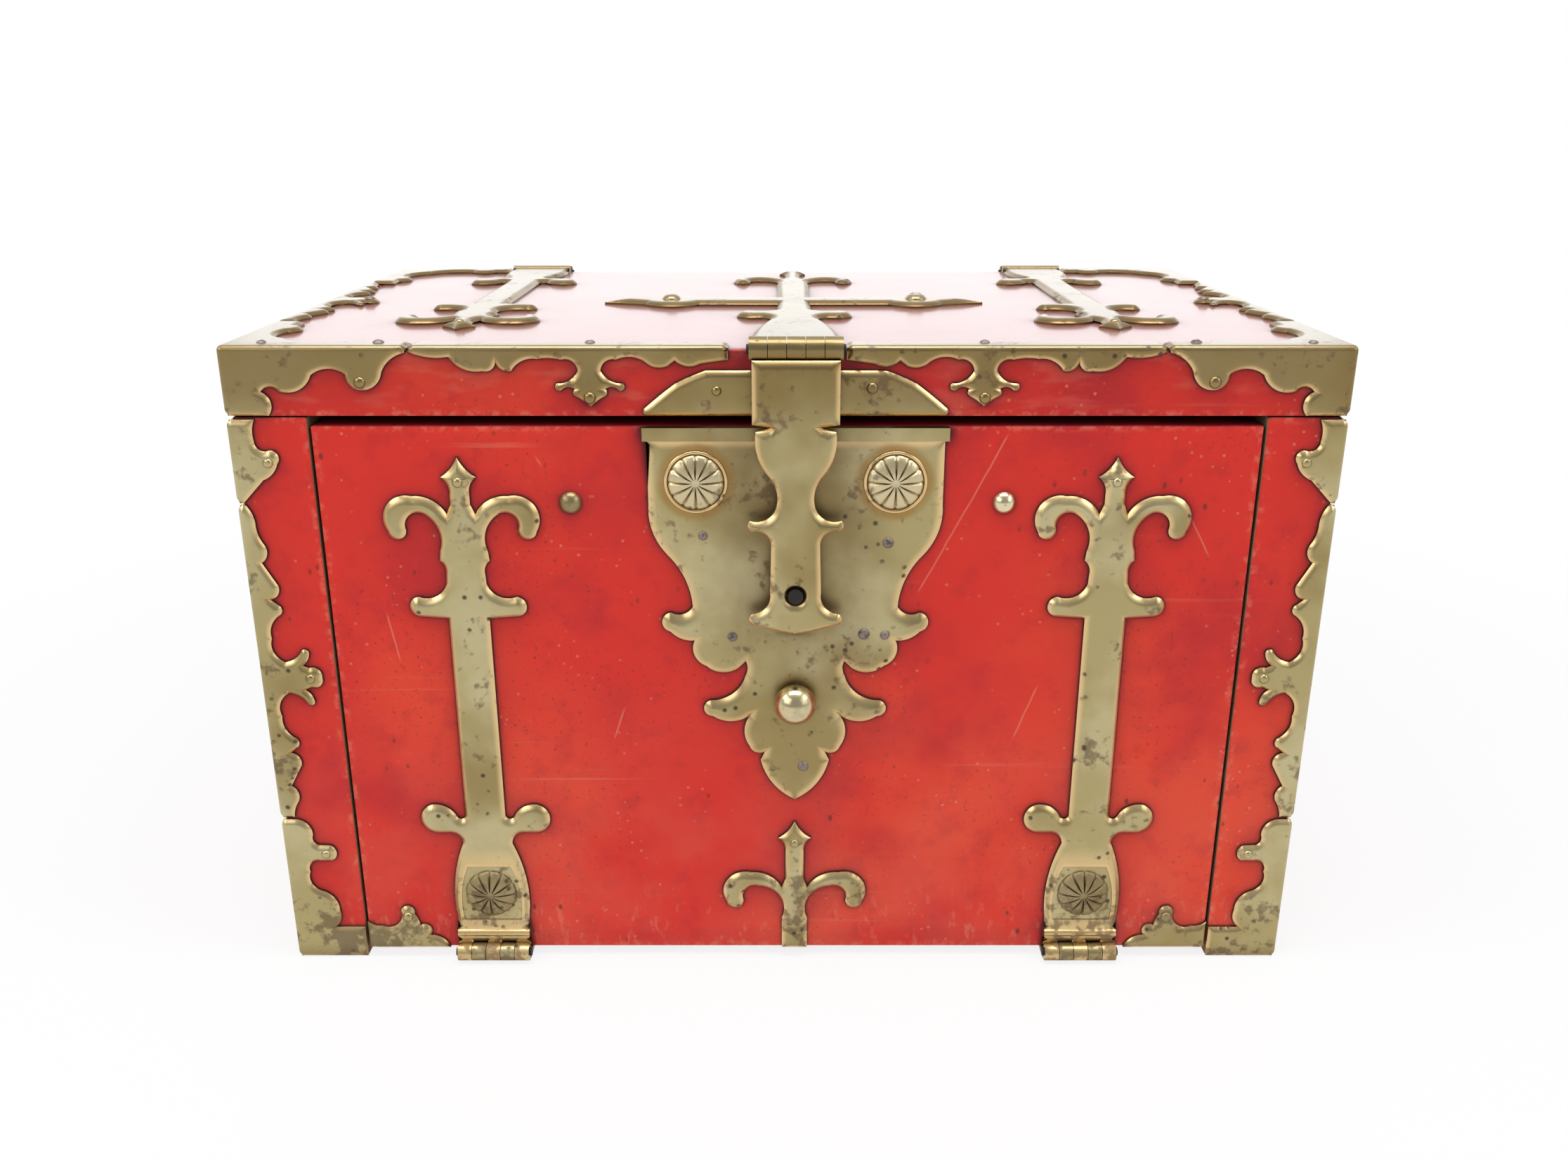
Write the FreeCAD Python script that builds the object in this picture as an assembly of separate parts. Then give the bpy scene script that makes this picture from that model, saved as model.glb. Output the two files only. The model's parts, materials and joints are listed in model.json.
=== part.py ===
import FreeCAD, Part
import math
import os

# A brass-mounted wooden strongbox: hinged lid, drop front, hasp and carrying handles.
# Millimetres, +X to the right, front towards -Y, +Z up, origin on the floor under the middle.

# Wooden box
box_width = 396.0
box_depth = 246.0
box_height = 248.0
board = 16.0
lid_board = 12.0
lid_rebate_lip = 3.4
lid_height = 23.5
bottom_board_thickness = 14.0
front_thickness = 18.0
stile_width = 26.5
panel_lift = 4.0
panel_side_gap = 1.0
panel_top_gap = 3.3
lid_seat_gap = 0.2
lid_back_gap = 0.6
back_top_gap = 0.3
panel_back_gap = 0.5

# Brass plates
edge_plate = 2.0
strap_plate = 2.4
mount_gap = 0.6
stile_margin = 0.2
pendant_tip = 1.2
base_corner_height = 63.0
stile_mount_height = 30.9
stile_mount_top_gap = 0.8
edge_mount_low_gap = 1.0
edge_pendant_rise = 59.7
lid_corner_leg = 64.2
lid_corner_side_reach = 58.4
lid_edge_margin = 0.4
lid_top_flange = 9.0
lid_plate_half = 54.2
lid_plate_top_gap = 7.0
shield_half = 53.5
shield_fleur_gap = 9.7
shield_waist = 82.0
shield_pendant = 67.1
shield_plate = 2.6
shield_band = 3.6
shield_band_height = 4.8
shield_band_overhang = 1.3
hasp_plate = 2.8

# Hinges
barrel_radius = 3.6
barrel_width = 29.0
barrel_knuckles = 5
pin_radius = 1.7
pin_clearance = 0.05
pin_overhang = 0.8
knuckle_gap = 0.25
leaf_relief = 0.4
front_barrel_gap = 0.4
floor_barrel_gap = 0.6
lid_barrel_gap = 0.6
lid_axis_drop = 1.2
base_leaf_plate = 2.0
base_leaf_lift = 0.4
base_leaf_length = 40.0
back_leaf_length = 62.0
front_strap_inset = 51.5
front_strap_top_gap = 11.1
lid_strap_inset = 71.0
lid_strap_front_gap = 44.5
cross_strap_back_gap = 11.6
cross_arm_gap = 45.0
cross_arm_y = -2.9

# Hasp
column_x = 3.0
hasp_barrel_radius = 4.4
hasp_barrel_width = 33.0
hasp_barrel_gap = 1.0
hasp_half = 15.4
hasp_axis_rise = 1.4
hasp_root = 3.4
hasp_web = 9.0
hasp_web_back = 0.6
hasp_standoff = 2.8
staple_width = 5.0
staple_drop = 102.4
staple_height = 6.0
staple_depth = 5.5
staple_foot = 2.0
staple_eye = 1.9
staple_eye_wall = 0.6
rivet_drop = 89.4
rivet_radius = 2.8
rivet_clearance = 0.1
slot_margin = 1.6
slot_rise = 18.5

# Lock
lock_width = 41.0
lock_below_staple = 9.0
lock_above_slot = 12.5
lock_wall = 1.5
lock_fit = 0.1
bolt_nose = 1.5
bolt_height = 9.0
bolt_back_gap = 0.4
bolt_rest_gap = 1.0
bolt_nose_length = 8.5
bolt_clearance = 0.3
cover_margin = 6.0

# Small brasses
ridge_radius = 1.7
ridge_rise = 7.6
rosette_radius = 10.2
rosette_petals = 12
rosette_shield_x = 36.0
rosette_shield_drop = 20.0
rosette_strap_rise = 25.8
recess_depth = 0.8
recess_margin = 2.0
knob_below_waist = 23.4
stud_strap_gap = 40.0
stud_drop = 28.5
fleur_stem = 14.0
fleur_neck = 16.0
fleur_head = 28.2
strap_neck = 7.5
cross_strap_neck = 23.0

# Carrying handles
handle_z = 150.0
handle_span = 84.0
handle_drop = 42.0
handle_rod = 3.2
handle_axis_proud = 7.0
handle_lug = 6.0
handle_lug_radius = 5.0
handle_plate_half = 60.0
handle_plate_height = 22.0
handle_corner = 10.0
handle_clearance = 0.08
handle_lug_gap = 0.4

half_width = box_width / 2
half_depth = box_depth / 2
front_y = -half_depth
back_y = half_depth
lid_bottom = box_height - lid_height
case_top = lid_bottom - lid_seat_gap
panel_top = case_top - panel_top_gap
stile_inner = half_width - stile_width
panel_half = stile_inner - panel_side_gap
panel_back_y = front_y + front_thickness
inner_half = half_width - board
front_axis_proud = barrel_radius + front_barrel_gap
front_axis_y = front_y - front_axis_proud
front_axis_z = barrel_radius + floor_barrel_gap
front_strap_x = panel_half - front_strap_inset
front_strap_length = panel_top - front_strap_top_gap - front_axis_z
lid_axis_proud = barrel_radius + lid_barrel_gap
lid_axis_y = back_y + lid_axis_proud
lid_axis_z = box_height - lid_axis_drop
lid_strap_x = half_width - lid_strap_inset
lid_strap_length = lid_axis_y - front_y - lid_strap_front_gap
hasp_axis_y = front_y - hasp_barrel_radius - hasp_barrel_gap
hasp_axis_z = box_height + hasp_axis_rise
hasp_back_y = hasp_axis_y - hasp_standoff
cross_strap_length = back_y - lid_back_gap - cross_strap_back_gap - hasp_axis_y
staple_low = hasp_axis_z - staple_drop
staple_high = staple_low + staple_height
rivet_z = hasp_axis_z - rivet_drop
lock_low = staple_low - lock_below_staple
lock_high = staple_high + slot_rise + lock_above_slot
edge_mount_low = base_corner_height + edge_mount_low_gap
stile_mount_low = case_top - stile_mount_top_gap - stile_mount_height
edge_mount_high = stile_mount_low - mount_gap
lid_side_mount_half = half_depth - lid_corner_side_reach - mount_gap
shield_drop = panel_top - panel_lift - fleur_stem - fleur_neck - fleur_head - shield_fleur_gap
shield_stretch = min(1.0, (shield_drop - shield_waist) / shield_pendant)
bore_radius = pin_radius + pin_clearance

X_AXIS = FreeCAD.Vector(1, 0, 0)
Y_AXIS = FreeCAD.Vector(0, 1, 0)
Z_AXIS = FreeCAD.Vector(0, 0, 1)
CENTRE = FreeCAD.Vector(0, 0, 0)


def V(x, y, z=0.0):
    return FreeCAD.Vector(x, y, z)


def block(x0, x1, y0, y1, z0, z1):
    return Part.makeBox(x1 - x0, y1 - y0, z1 - z0, V(x0, y0, z0))


def trace(start, steps):
    # Each step is a point for a line, or a point on the way and a point for an arc.
    edges = []
    here = V(*start)
    for step in steps:
        there = V(step[-2], step[-1])
        if len(step) == 2:
            edges.append(Part.LineSegment(here, there).toShape())
        else:
            edges.append(Part.Arc(here, V(step[0], step[1]), there).toShape())
        here = there
    return edges


def plate(edges, thickness):
    # A flat casting standing on z = 0.
    return Part.Face(Part.Wire(edges)).extrude(V(0, 0, thickness))


def there_and_back(start, steps):
    # The steps of one half, followed by the same steps mirrored in X, back to the start's twin.
    ends = [start] + [step[-2:] for step in steps]
    back = []
    for index in range(len(steps) - 1, -1, -1):
        x, y = ends[index]
        if len(steps[index]) == 4:
            back.append((-steps[index][0], steps[index][1], -x, y))
        else:
            back.append((-x, y))
    last_x, last_y = ends[-1]
    flat_end = [(-last_x, last_y)] if last_x else []
    flat_start = [start] if start[0] else []
    return steps + flat_end + back + flat_start


def raised(steps, height):
    return [tuple(value + height * (index % 2) for index, value in enumerate(step)) for step in steps]


def scaled(steps, across, along):
    factors = (across, along)
    return [tuple(value * factors[index % 2] for index, value in enumerate(step)) for step in steps]


def fitted(steps, along):
    # Takes up more length along the outline only; with less length the whole ornament gets smaller.
    return scaled(steps, min(1.0, along), along)


def swapped(steps):
    return [(step[1], step[0]) if len(step) == 2 else (step[1], step[0], step[3], step[2]) for step in steps]


def symmetric_plate(start, steps, thickness):
    return plate(trace(start, there_and_back(start, steps)), thickness)


def turned(shape, axis, angle):
    copy = shape.copy()
    copy.rotate(CENTRE, axis, angle)
    return copy


def moved(shape, x, y, z):
    copy = shape.copy()
    copy.translate(V(x, y, z))
    return copy


def facing_front(shape, x, z, y=front_y):
    return moved(turned(shape, X_AXIS, 90), x, y, z)


def facing_back(shape, x, z):
    return moved(turned(turned(shape, X_AXIS, 90), Z_AXIS, 180), x, back_y, z)


def across_x(shape):
    return shape.mirror(CENTRE, X_AXIS)


def across_y(shape):
    return shape.mirror(CENTRE, Y_AXIS)


def export(name, shape):
    shape.exportStep("parts/" + name + ".step")


# Barrels lie along X about the origin, with alternate knuckles for the two leaves.
def knuckle_spans(width, first):
    pitch = width / barrel_knuckles
    spans = []
    for index in range(first, barrel_knuckles, 2):
        low = -width / 2 + index * pitch
        spans.append((low + knuckle_gap / 2, low + pitch - knuckle_gap / 2))
    return spans


def rods(spans, radius, grow=0.0):
    pieces = []
    for low, high in spans:
        pieces.append(Part.makeCylinder(radius, high - low + 2 * grow, V(low - grow, 0, 0), X_AXIS))
    return pieces


def hinge_leaf(leaf, width, radius, first):
    # The leaf gets its own knuckles, room for the other leaf's and the bore.
    other = rods(knuckle_spans(width, 1 - first), radius + leaf_relief, knuckle_gap)
    cleared = leaf.cut(Part.makeCompound(other))
    joined = cleared.fuse(rods(knuckle_spans(width, first), radius))
    bore = Part.makeCylinder(bore_radius, 2 * width, V(-width, 0, 0), X_AXIS)
    return joined.cut(bore).removeSplitter()


def hinge_pin(width):
    length = width + 2 * pin_overhang
    return Part.makeCylinder(pin_radius, length, V(-length / 2, 0, 0), X_AXIS)


# Ornaments: half outlines from the foot to the tip
def fleur_steps(stem, base, neck):
    # Two curling leaves and a spear head, from the stem's side up to the tip.
    crotch = base + 14.2
    spear = crotch + neck
    return [
        (stem, base),
        (stem + 0.2, base + 9.0, 14.2, base + 14.6),
        (19.2, base + 13.6, 20.6, base + 8.4),
        (23.6, base + 4.6, 27.2, base + 7.6),
        (26.6, base + 18.0, 17.5, base + 21.0),
        (10.5, base + 19.6, 5.2, crotch),
        (3.6, crotch + 3.8),
        (3.6, spear),
        (4.2, spear + 3.8, 6.4, spear + 6.4),
        (2.6, spear + 9.6, 0.0, spear + 14.0),
    ]


def strap_steps(head):
    # A long strap: flared foot, two pairs of scrolls and a fleur that starts at head.
    half = barrel_width / 2
    foot = [
        (half, 14.0),
        (14.6, 30.0, 9.8, 48.0),
        (11.0, 51.3, 14.0, 52.8),
        (19.3, 52.8),
        (25.4, 59.5, 20.5, 65.3),
        (14.5, 63.8, 11.4, 60.2),
        (9.8, 59.0, 7.8, 60.4),
    ]
    upper_scrolls = [
        (7.6, -26.4),
        (17.8, -25.6),
        (21.8, -21.6, 18.2, -17.8),
        (11.6, -17.6, 7.4, -12.6),
        (7.2, -9.0),
        (7.6, -5.6, 9.2, -3.6),
    ]
    return foot + raised(upper_scrolls, head)


def strap(axis_rise, length):
    # Lies on z = 0 with its hinge axis along X at y = 0 and z = axis_rise.
    head = length - fleur_head - strap_neck
    steps = strap_steps(head) + fleur_steps(8.8, head, strap_neck)
    leaf = symmetric_plate((barrel_width / 2, 0.0), steps, strap_plate)
    ridge_end = V(-barrel_width / 2, ridge_rise, ridge_radius)
    ridge = Part.makeCylinder(ridge_radius, barrel_width, ridge_end, X_AXIS)
    leaf = leaf.fuse(ridge)
    lowered = moved(leaf, 0, 0, -axis_rise)
    return moved(hinge_leaf(lowered, barrel_width, barrel_radius, 0), 0, 0, axis_rise)


def rosette_recess():
    # A sunk field in a front strap's foot, following the foot's sides round the rosette.
    reach = rosette_radius + recess_margin
    low = rosette_strap_rise - reach
    high = rosette_strap_rise + reach
    sides = [(reach - 0.4, rosette_strap_rise, 8.6, high)]
    field = symmetric_plate((reach - 0.8, low), sides, recess_depth)
    return moved(field, 0, 0, strap_plate - recess_depth)


def small_fleur():
    stem = 5.1
    return symmetric_plate((stem, 0.0), fleur_steps(stem, fleur_stem, fleur_neck), strap_plate)


def shield_steps():
    # Heights are from the panel's top edge; only the pendant below the waist takes up a change of height.
    waist = -shield_waist
    upper = [
        (shield_half, -29.0),
        (52.4, -39.0, 47.2, -48.0),
        (40.6, -58.0, 38.2, -68.4),
        (41.2, -71.2, 46.4, -70.8),
        (49.8, -74.2, 46.8, -78.4),
        (42.5, -81.4, 37.8, waist),
    ]
    pendant = [
        (38.0, -6.0, 33.5, -10.4),
        (27.5, -13.0, 21.5, -11.2),
        (18.6, -8.4),
        (18.0, -11.4, 18.8, -14.4),
        (23.2, -21.4, 31.0, -24.6),
        (34.8, -27.8, 31.4, -31.2),
        (24.0, -33.4, 16.8, -30.4),
        (19.4, -38.0, 17.4, -44.0),
        (15.0, -46.6, 11.6, -46.4),
        (13.2, -49.8),
        (9.0, -59.4, 0.0, -shield_pendant),
    ]
    return upper + raised(fitted(pendant, shield_stretch), waist)


def hasp_steps():
    # From the hinge axis down to the lower end.
    return [
        (hasp_half, -26.0),
        (8.6, -27.0),
        (14.2, -28.6),
        (13.4, -37.9, 9.4, -44.9),
        (6.9, -49.9, 6.8, -55.4),
        (9.4, -59.8, 16.4, -61.0),
        (17.2, -63.0, 15.2, -65.2),
        (11.6, -65.6, 8.8, -69.9),
        (9.3, -88.4),
        (10.8, -94.2, 15.6, -96.6),
        (17.0, -99.0, 14.8, -101.0),
        (7.4, -103.0, 0.0, -104.8),
    ]


def lid_plate():
    top = box_height - lid_plate_top_gap
    low = lid_bottom + lid_edge_margin
    steps = [
        (lid_plate_half, low + 1.3, 53.6, low + 2.7),
        (47.6, low + 7.7, 42.6, low + 11.5),
        (38.0, top - 2.4, 31.8, top),
    ]
    return symmetric_plate((52.6, low), steps, edge_plate)


def cross_strap_steps():
    # The hasp's strap on the lid: foot, leaves and cross arms.
    half = hasp_barrel_width / 2
    foot = [
        (half, 12.0),
        (14.6, 46.0, 10.6, 68.0),
        (9.6, 76.0, 13.0, 80.0),
        (18.2, 79.6),
        (23.4, 86.0, 17.6, 92.0),
        (12.0, 90.6, 7.4, 96.0),
    ]
    reach = lid_strap_x - cross_arm_gap
    arms = [
        (7.0, -7.0),
        (reach - 41.0, -6.5),
        (reach - 29.0, -12.9, reach - 18.0, -5.9),
        (reach - 10.0, -2.7, reach, 0.0),
        (reach - 10.0, 2.7, reach - 18.0, 5.9),
        (reach - 29.0, 12.9, reach - 41.0, 6.5),
        (7.0, 7.0),
    ]
    return foot + raised(arms, cross_arm_y - hasp_axis_y)


def scallop_steps(half):
    # Upper half of an edge mount's inner border, from its three-lobed pendant to its end.
    border = [
        (20.0, 3.4, 16.6, 4.0),
        (14.2, 5.0),
        (16.4, 7.2, 17.2, 9.6),
        (16.4, 11.4, 14.4, 10.8),
        (11.4, 7.6, 7.8, 6.4),
        (4.0, 10.4, 4.0, 16.0),
        (4.6, 21.4, 8.2, 25.4),
        (9.2, 27.8, 7.8, 29.6),
        (5.4, 31.6),
        (8.4, 33.4, 9.0, 37.0),
        (4.0, 46.0),
        (6.4, 49.2, 5.8, 53.0),
        (4.0, 57.0, 3.6, 61.0),
        (2.6, 65.4, 0.8, 68.3),
    ]
    return fitted(border, half / border[-1][-1]) + [(-edge_plate, half)]


# Edge mounts: a flange on the front face and its twin on the side face
def flange_pair(front_flange):
    front = turned(front_flange, X_AXIS, 90)
    side = front.mirror(CENTRE, V(1, -1, 0))
    return front.fuse(side).removeSplitter()


def edge_mount(up, down):
    # Reaches up and down from its pendant, whose middle is at z = 0.
    half = max(up, down)
    steps = scallop_steps(half)
    pendant = steps[0][0] + pendant_tip
    sideways = symmetric_plate((0.0, pendant), swapped(steps), edge_plate)
    whole = flange_pair(sideways.mirror(CENTRE, V(1, -1, 0)))
    return whole.common(block(-edge_plate, pendant, -edge_plate, pendant, -down, up))


def stile_mount():
    # Below the lid's corner, with a slanted end that meets the edge mount at the box's edge.
    steps = [
        (0.4, 0.0),
        (8.6, 8.6),
        (12.6, 11.4, 14.4, 14.8),
        (14.8, 18.2, 12.0, 19.6),
        (8.6, 19.8, 7.0, 23.0),
        (6.8, 26.4, 8.0, stile_mount_height),
        (-edge_plate, stile_mount_height),
        (-edge_plate, 0.0),
    ]
    return flange_pair(plate(trace((-edge_plate, 0.0), steps), edge_plate))


def base_corner():
    reach = stile_width - stile_margin
    steps = [
        (reach, 0.0),
        (reach, 13.6),
        (14.6, 13.6),
        (16.8, 17.0, 16.8, 21.5),
        (15.6, 26.6, 11.6, 30.2),
        (6.8, 34.4, 7.0, 39.4),
        (8.0, 43.4, 11.6, 44.2),
        (16.4, 44.4),
        (18.4, 47.8, 16.4, 51.2),
        (11.4, 51.4),
        (9.6, 53.6, 9.8, 55.8),
        (8.8, 60.0, 3.6, base_corner_height),
        (-edge_plate, base_corner_height),
        (-edge_plate, 0.0),
    ]
    return flange_pair(plate(trace((-edge_plate, 0.0), steps), edge_plate))


def panel_corner():
    steps = [
        (33.0, 0.0),
        (29.6, 4.6, 25.0, 5.8),
        (25.6, 9.4, 21.4, 10.4),
        (20.6, 13.4, 19.4, 15.6),
        (16.8, 19.4, 14.2, 15.6),
        (11.8, 10.6, 6.0, 10.0),
        (2.8, 10.4, 0.0, 12.0),
        (0.0, 0.0),
    ]
    return plate(trace((0.0, 0.0), steps), edge_plate)


def lid_corner_flange():
    # On the lid's front and side: a long leg under the top edge, a short leg down the corner.
    drop = lid_edge_margin - lid_height
    steps = [
        (lid_corner_leg, edge_plate),
        (lid_corner_leg - 0.6, -0.8),
        (58.4, -3.2, 55.0, -7.6),
        (51.6, -12.8, 47.4, -14.0),
        (43.8, -12.6, 42.2, -8.4),
        (36.0, -6.4, 30.0, -8.6),
        (25.4, -13.8, 18.0, -14.4),
        (14.4, -12.8, 11.6, -14.6),
        (14.6, -17.6, 13.4, drop),
        (-edge_plate, drop),
        (-edge_plate, edge_plate),
    ]
    return plate(trace((-edge_plate, edge_plate), steps), edge_plate)


def lid_corner_top():
    # The top flange of a lid corner, alike along both edges.
    one_leg = [
        (lid_corner_leg, -edge_plate),
        (lid_corner_leg, lid_top_flange),
        (48.6, 9.4),
        (42.4, 13.6, 36.6, 9.8),
        (28.0, 9.0, 17.0, 17.0),
    ]
    ends = [(-edge_plate, -edge_plate)] + [step[-2:] for step in one_leg]
    other_leg = []
    for index in range(len(one_leg) - 1, -1, -1):
        way = one_leg[index][:-2]
        other_leg.append(way[::-1] + ends[index][::-1])
    return plate(trace(ends[0], one_leg + other_leg), edge_plate)


def lid_corner(with_front):
    # Grown from the corner towards +X and +Y; a back corner has no flange over the hinge side.
    front = turned(lid_corner_flange(), X_AXIS, 90)
    side = front.mirror(CENTRE, V(1, -1, 0))
    beyond = block(-edge_plate, box_width, lid_corner_side_reach, box_depth, -lid_height, edge_plate)
    if with_front:
        return side.fuse([lid_corner_top(), front]).cut(beyond).removeSplitter()
    strap_edge = half_width - lid_strap_x - barrel_width / 2 - mount_gap
    near_strap = block(strap_edge, box_width, -edge_plate, box_depth, -lid_height, edge_plate)
    hinge_side = block(-edge_plate, box_width, -edge_plate, 0.0, -lid_height, edge_plate)
    beyond = moved(beyond, 0, -lid_back_gap, 0)
    return side.fuse(lid_corner_top()).cut([beyond, near_strap, hinge_side]).removeSplitter()


def lid_front_mount():
    # A scalloped strip under the lid's front edge, from the corner to the hasp, with a barbed pendant.
    pendant_half = 12.0
    pendant_foot = 9.6
    band = -3.2
    pendant_x = column_x + lid_plate_half + mount_gap + pendant_half
    outer_end = half_width - lid_corner_leg - mount_gap - pendant_x
    inner_end = column_x + hasp_barrel_width / 2 + pin_overhang + mount_gap - pendant_x
    scallop = [
        (53.8, -0.4),
        (49.0, -2.0, 39.6, -2.2),
        (34.0, -6.8, 28.2, -7.2),
        (25.0, -6.8, 23.2, -4.0),
        (21.0, -6.8, 17.8, -7.1),
        (12.8, -3.2, 9.0, -2.9),
        (4.4, -2.6, 0.0, band),
    ]
    stretch = (outer_end - pendant_foot) / scallop[0][0]
    outer = [tuple(value if index % 2 else pendant_foot + value * stretch
                   for index, value in enumerate(step)) for step in scallop]
    half_pendant = [
        (5.4, -4.2, 4.0, -7.0),
        (7.6, -10.8, pendant_half - 0.4, -11.6),
        (pendant_half, -13.6, 10.2, -14.0),
        (7.8, -12.8, 5.4, -13.6),
        (6.0, -15.0, 5.0, -16.2),
        (2.6, -17.6, 0.0, -19.8),
    ]
    pendant = there_and_back((pendant_foot, band), half_pendant)[:-1]
    inner = [
        (-14.6, -2.2, -19.8, -4.0),
        (-24.2, -6.0, -27.6, -5.4),
        (-30.2, -3.4),
        (-34.6, -5.6, -39.0, -4.6),
        (inner_end, band),
        (inner_end, edge_plate),
        (outer_end, edge_plate),
    ]
    front = plate(trace((outer_end, edge_plate), outer + pendant + inner), edge_plate)
    top = block(inner_end, outer_end, 0.0, lid_top_flange, 0.0, edge_plate)
    return moved(turned(front, X_AXIS, 90).fuse(top).removeSplitter(), pendant_x, 0, 0)


# Wooden boards
def make_boards():
    left_side = block(-half_width, -inner_half, panel_back_y, back_y, 0, case_top)
    export("left_side_board", left_side)
    export("right_side_board", across_x(left_side))
    left_stile = block(-half_width, -stile_inner, front_y, panel_back_y, 0, case_top)
    export("left_front_stile", left_stile)
    export("right_front_stile", across_x(left_stile))
    back_top = box_height - lid_board - back_top_gap
    export("back_board", block(-inner_half, inner_half, back_y - board, back_y, 0, back_top))
    floor = block(-inner_half, inner_half, panel_back_y + panel_back_gap, back_y - board,
                  0, bottom_board_thickness)
    for side in (-1, 1):
        x = side * front_strap_x
        half = barrel_width / 2
        floor = floor.cut(block(x - half, x + half, front_y, panel_back_y + base_leaf_length,
                                0, base_leaf_lift + base_leaf_plate))
    export("bottom_board", floor)


def make_lid_boards():
    # The top board lies in a rebate of the rims, so only a thin lip shows beside it.
    lid_back = back_y - lid_back_gap
    shoulder = box_height - lid_board
    lip = half_width - lid_rebate_lip
    top_board = block(-lip, lip, front_y + lid_rebate_lip, lid_back, shoulder, box_height)
    export("lid_top_board", top_board)
    front_rim = block(-half_width, half_width, front_y, front_y + board, lid_bottom, box_height)
    export("lid_front_rim", front_rim.cut(top_board))
    left_rim = block(-half_width, -inner_half, front_y + board, lid_back, lid_bottom, box_height)
    left_rim = left_rim.cut(top_board)
    export("lid_left_rim", left_rim)
    export("lid_right_rim", across_x(left_rim))


# Brass on the corners and edges
def export_four(name, front_left):
    export(name + "_front_left", front_left)
    export(name + "_front_right", across_x(front_left))
    export(name + "_back_left", across_y(front_left))
    export(name + "_back_right", across_x(across_y(front_left)))


def make_edge_brass():
    middle_z = edge_mount_low + edge_pendant_rise
    middle = edge_mount(edge_mount_high - middle_z, edge_pendant_rise)
    export_four("base_corner", moved(base_corner(), -half_width, front_y, 0))
    export_four("edge_mount", moved(middle, -half_width, front_y, middle_z))
    export_four("stile_mount", moved(stile_mount(), -half_width, front_y, stile_mount_low))


def make_lid_brass():
    front_corner = moved(lid_corner(True), -half_width, front_y, box_height)
    export("lid_corner_front_left", front_corner)
    export("lid_corner_front_right", across_x(front_corner))
    back_corner = across_y(moved(lid_corner(False), -half_width, front_y + lid_back_gap, box_height))
    export("lid_corner_back_left", back_corner)
    export("lid_corner_back_right", across_x(back_corner))
    right_mount = moved(lid_front_mount(), 0, front_y, box_height)
    export("lid_front_mount_right", right_mount)
    export("lid_front_mount_left", across_x(right_mount))
    side_mount = turned(edge_mount(lid_side_mount_half, lid_side_mount_half), X_AXIS, -90)
    side_mount = moved(side_mount, -half_width, 0, box_height)
    export("lid_side_mount_left", side_mount)
    export("lid_side_mount_right", across_x(side_mount))
    export("lid_plate", facing_front(lid_plate(), column_x, 0))


# Lid hinges
def back_leaf():
    half = barrel_width / 2
    steps = [
        (half, -26.0),
        (13.4, -36.0, 7.6, -40.0),
        (9.6, -46.0, 8.0, -50.0),
        (4.0, -54.0, 0.0, -back_leaf_length),
    ]
    leaf = symmetric_plate((half, 0.0), steps, edge_plate)
    lowered = moved(leaf, 0, 0, -lid_axis_proud)
    return moved(hinge_leaf(lowered, barrel_width, barrel_radius, 1), 0, 0, lid_axis_proud)


def make_lid_hinges():
    top_strap = turned(strap(-lid_axis_drop, lid_strap_length), Z_AXIS, 180)
    pins = []
    for side, name in ((-1, "left"), (1, "right")):
        x = side * lid_strap_x
        export("lid_strap_" + name, moved(top_strap, x, lid_axis_y, box_height))
        export("lid_hinge_back_leaf_" + name, facing_back(back_leaf(), x, lid_axis_z))
        pins.append(moved(hinge_pin(barrel_width), x, lid_axis_y, lid_axis_z))
    export("lid_hinge_pins", Part.makeCompound(pins))


# Drop front
def lock_window(grow):
    return block(column_x - lock_width / 2 - grow, column_x + lock_width / 2 + grow,
                 front_y, panel_back_y, lock_low - grow, lock_high + grow)


def staple_slot(y0, y1):
    half = staple_width / 2 + slot_margin
    return block(column_x - half, column_x + half, y0, y1,
                 staple_low - slot_margin, staple_high + slot_rise)


def make_front_panel():
    panel = block(-panel_half, panel_half, front_y, panel_back_y, panel_lift, panel_top)
    export("front_panel", panel.cut(lock_window(0.0)))


def front_base_leaf():
    half = barrel_width / 2
    low = base_leaf_lift - front_axis_z
    reach = panel_back_y + base_leaf_length - front_axis_y
    leaf = block(-half, half, 0, reach, low, low + base_leaf_plate)
    return hinge_leaf(leaf, barrel_width, barrel_radius, 1)


def make_front_hinges():
    front_strap = strap(front_axis_proud, front_strap_length).cut(rosette_recess())
    pins = []
    for side, name in ((-1, "left"), (1, "right")):
        x = side * front_strap_x
        export("front_strap_" + name, facing_front(front_strap, x, front_axis_z))
        export("front_hinge_base_leaf_" + name, moved(front_base_leaf(), x, front_axis_y, front_axis_z))
        pins.append(moved(hinge_pin(barrel_width), x, front_axis_y, front_axis_z))
    export("front_hinge_pins", Part.makeCompound(pins))


def make_shield():
    outline = symmetric_plate((shield_half, 0.0), shield_steps(), shield_plate)
    shield = facing_front(outline, column_x, panel_top)
    band_half = shield_half + shield_band_overhang
    band = block(column_x - band_half, column_x + band_half, front_y - shield_band, front_y,
                 panel_top - shield_band_height, panel_top)
    shield = shield.fuse(band).cut(staple_slot(front_y - shield_band, front_y))
    export("escutcheon", shield.removeSplitter())


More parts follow.
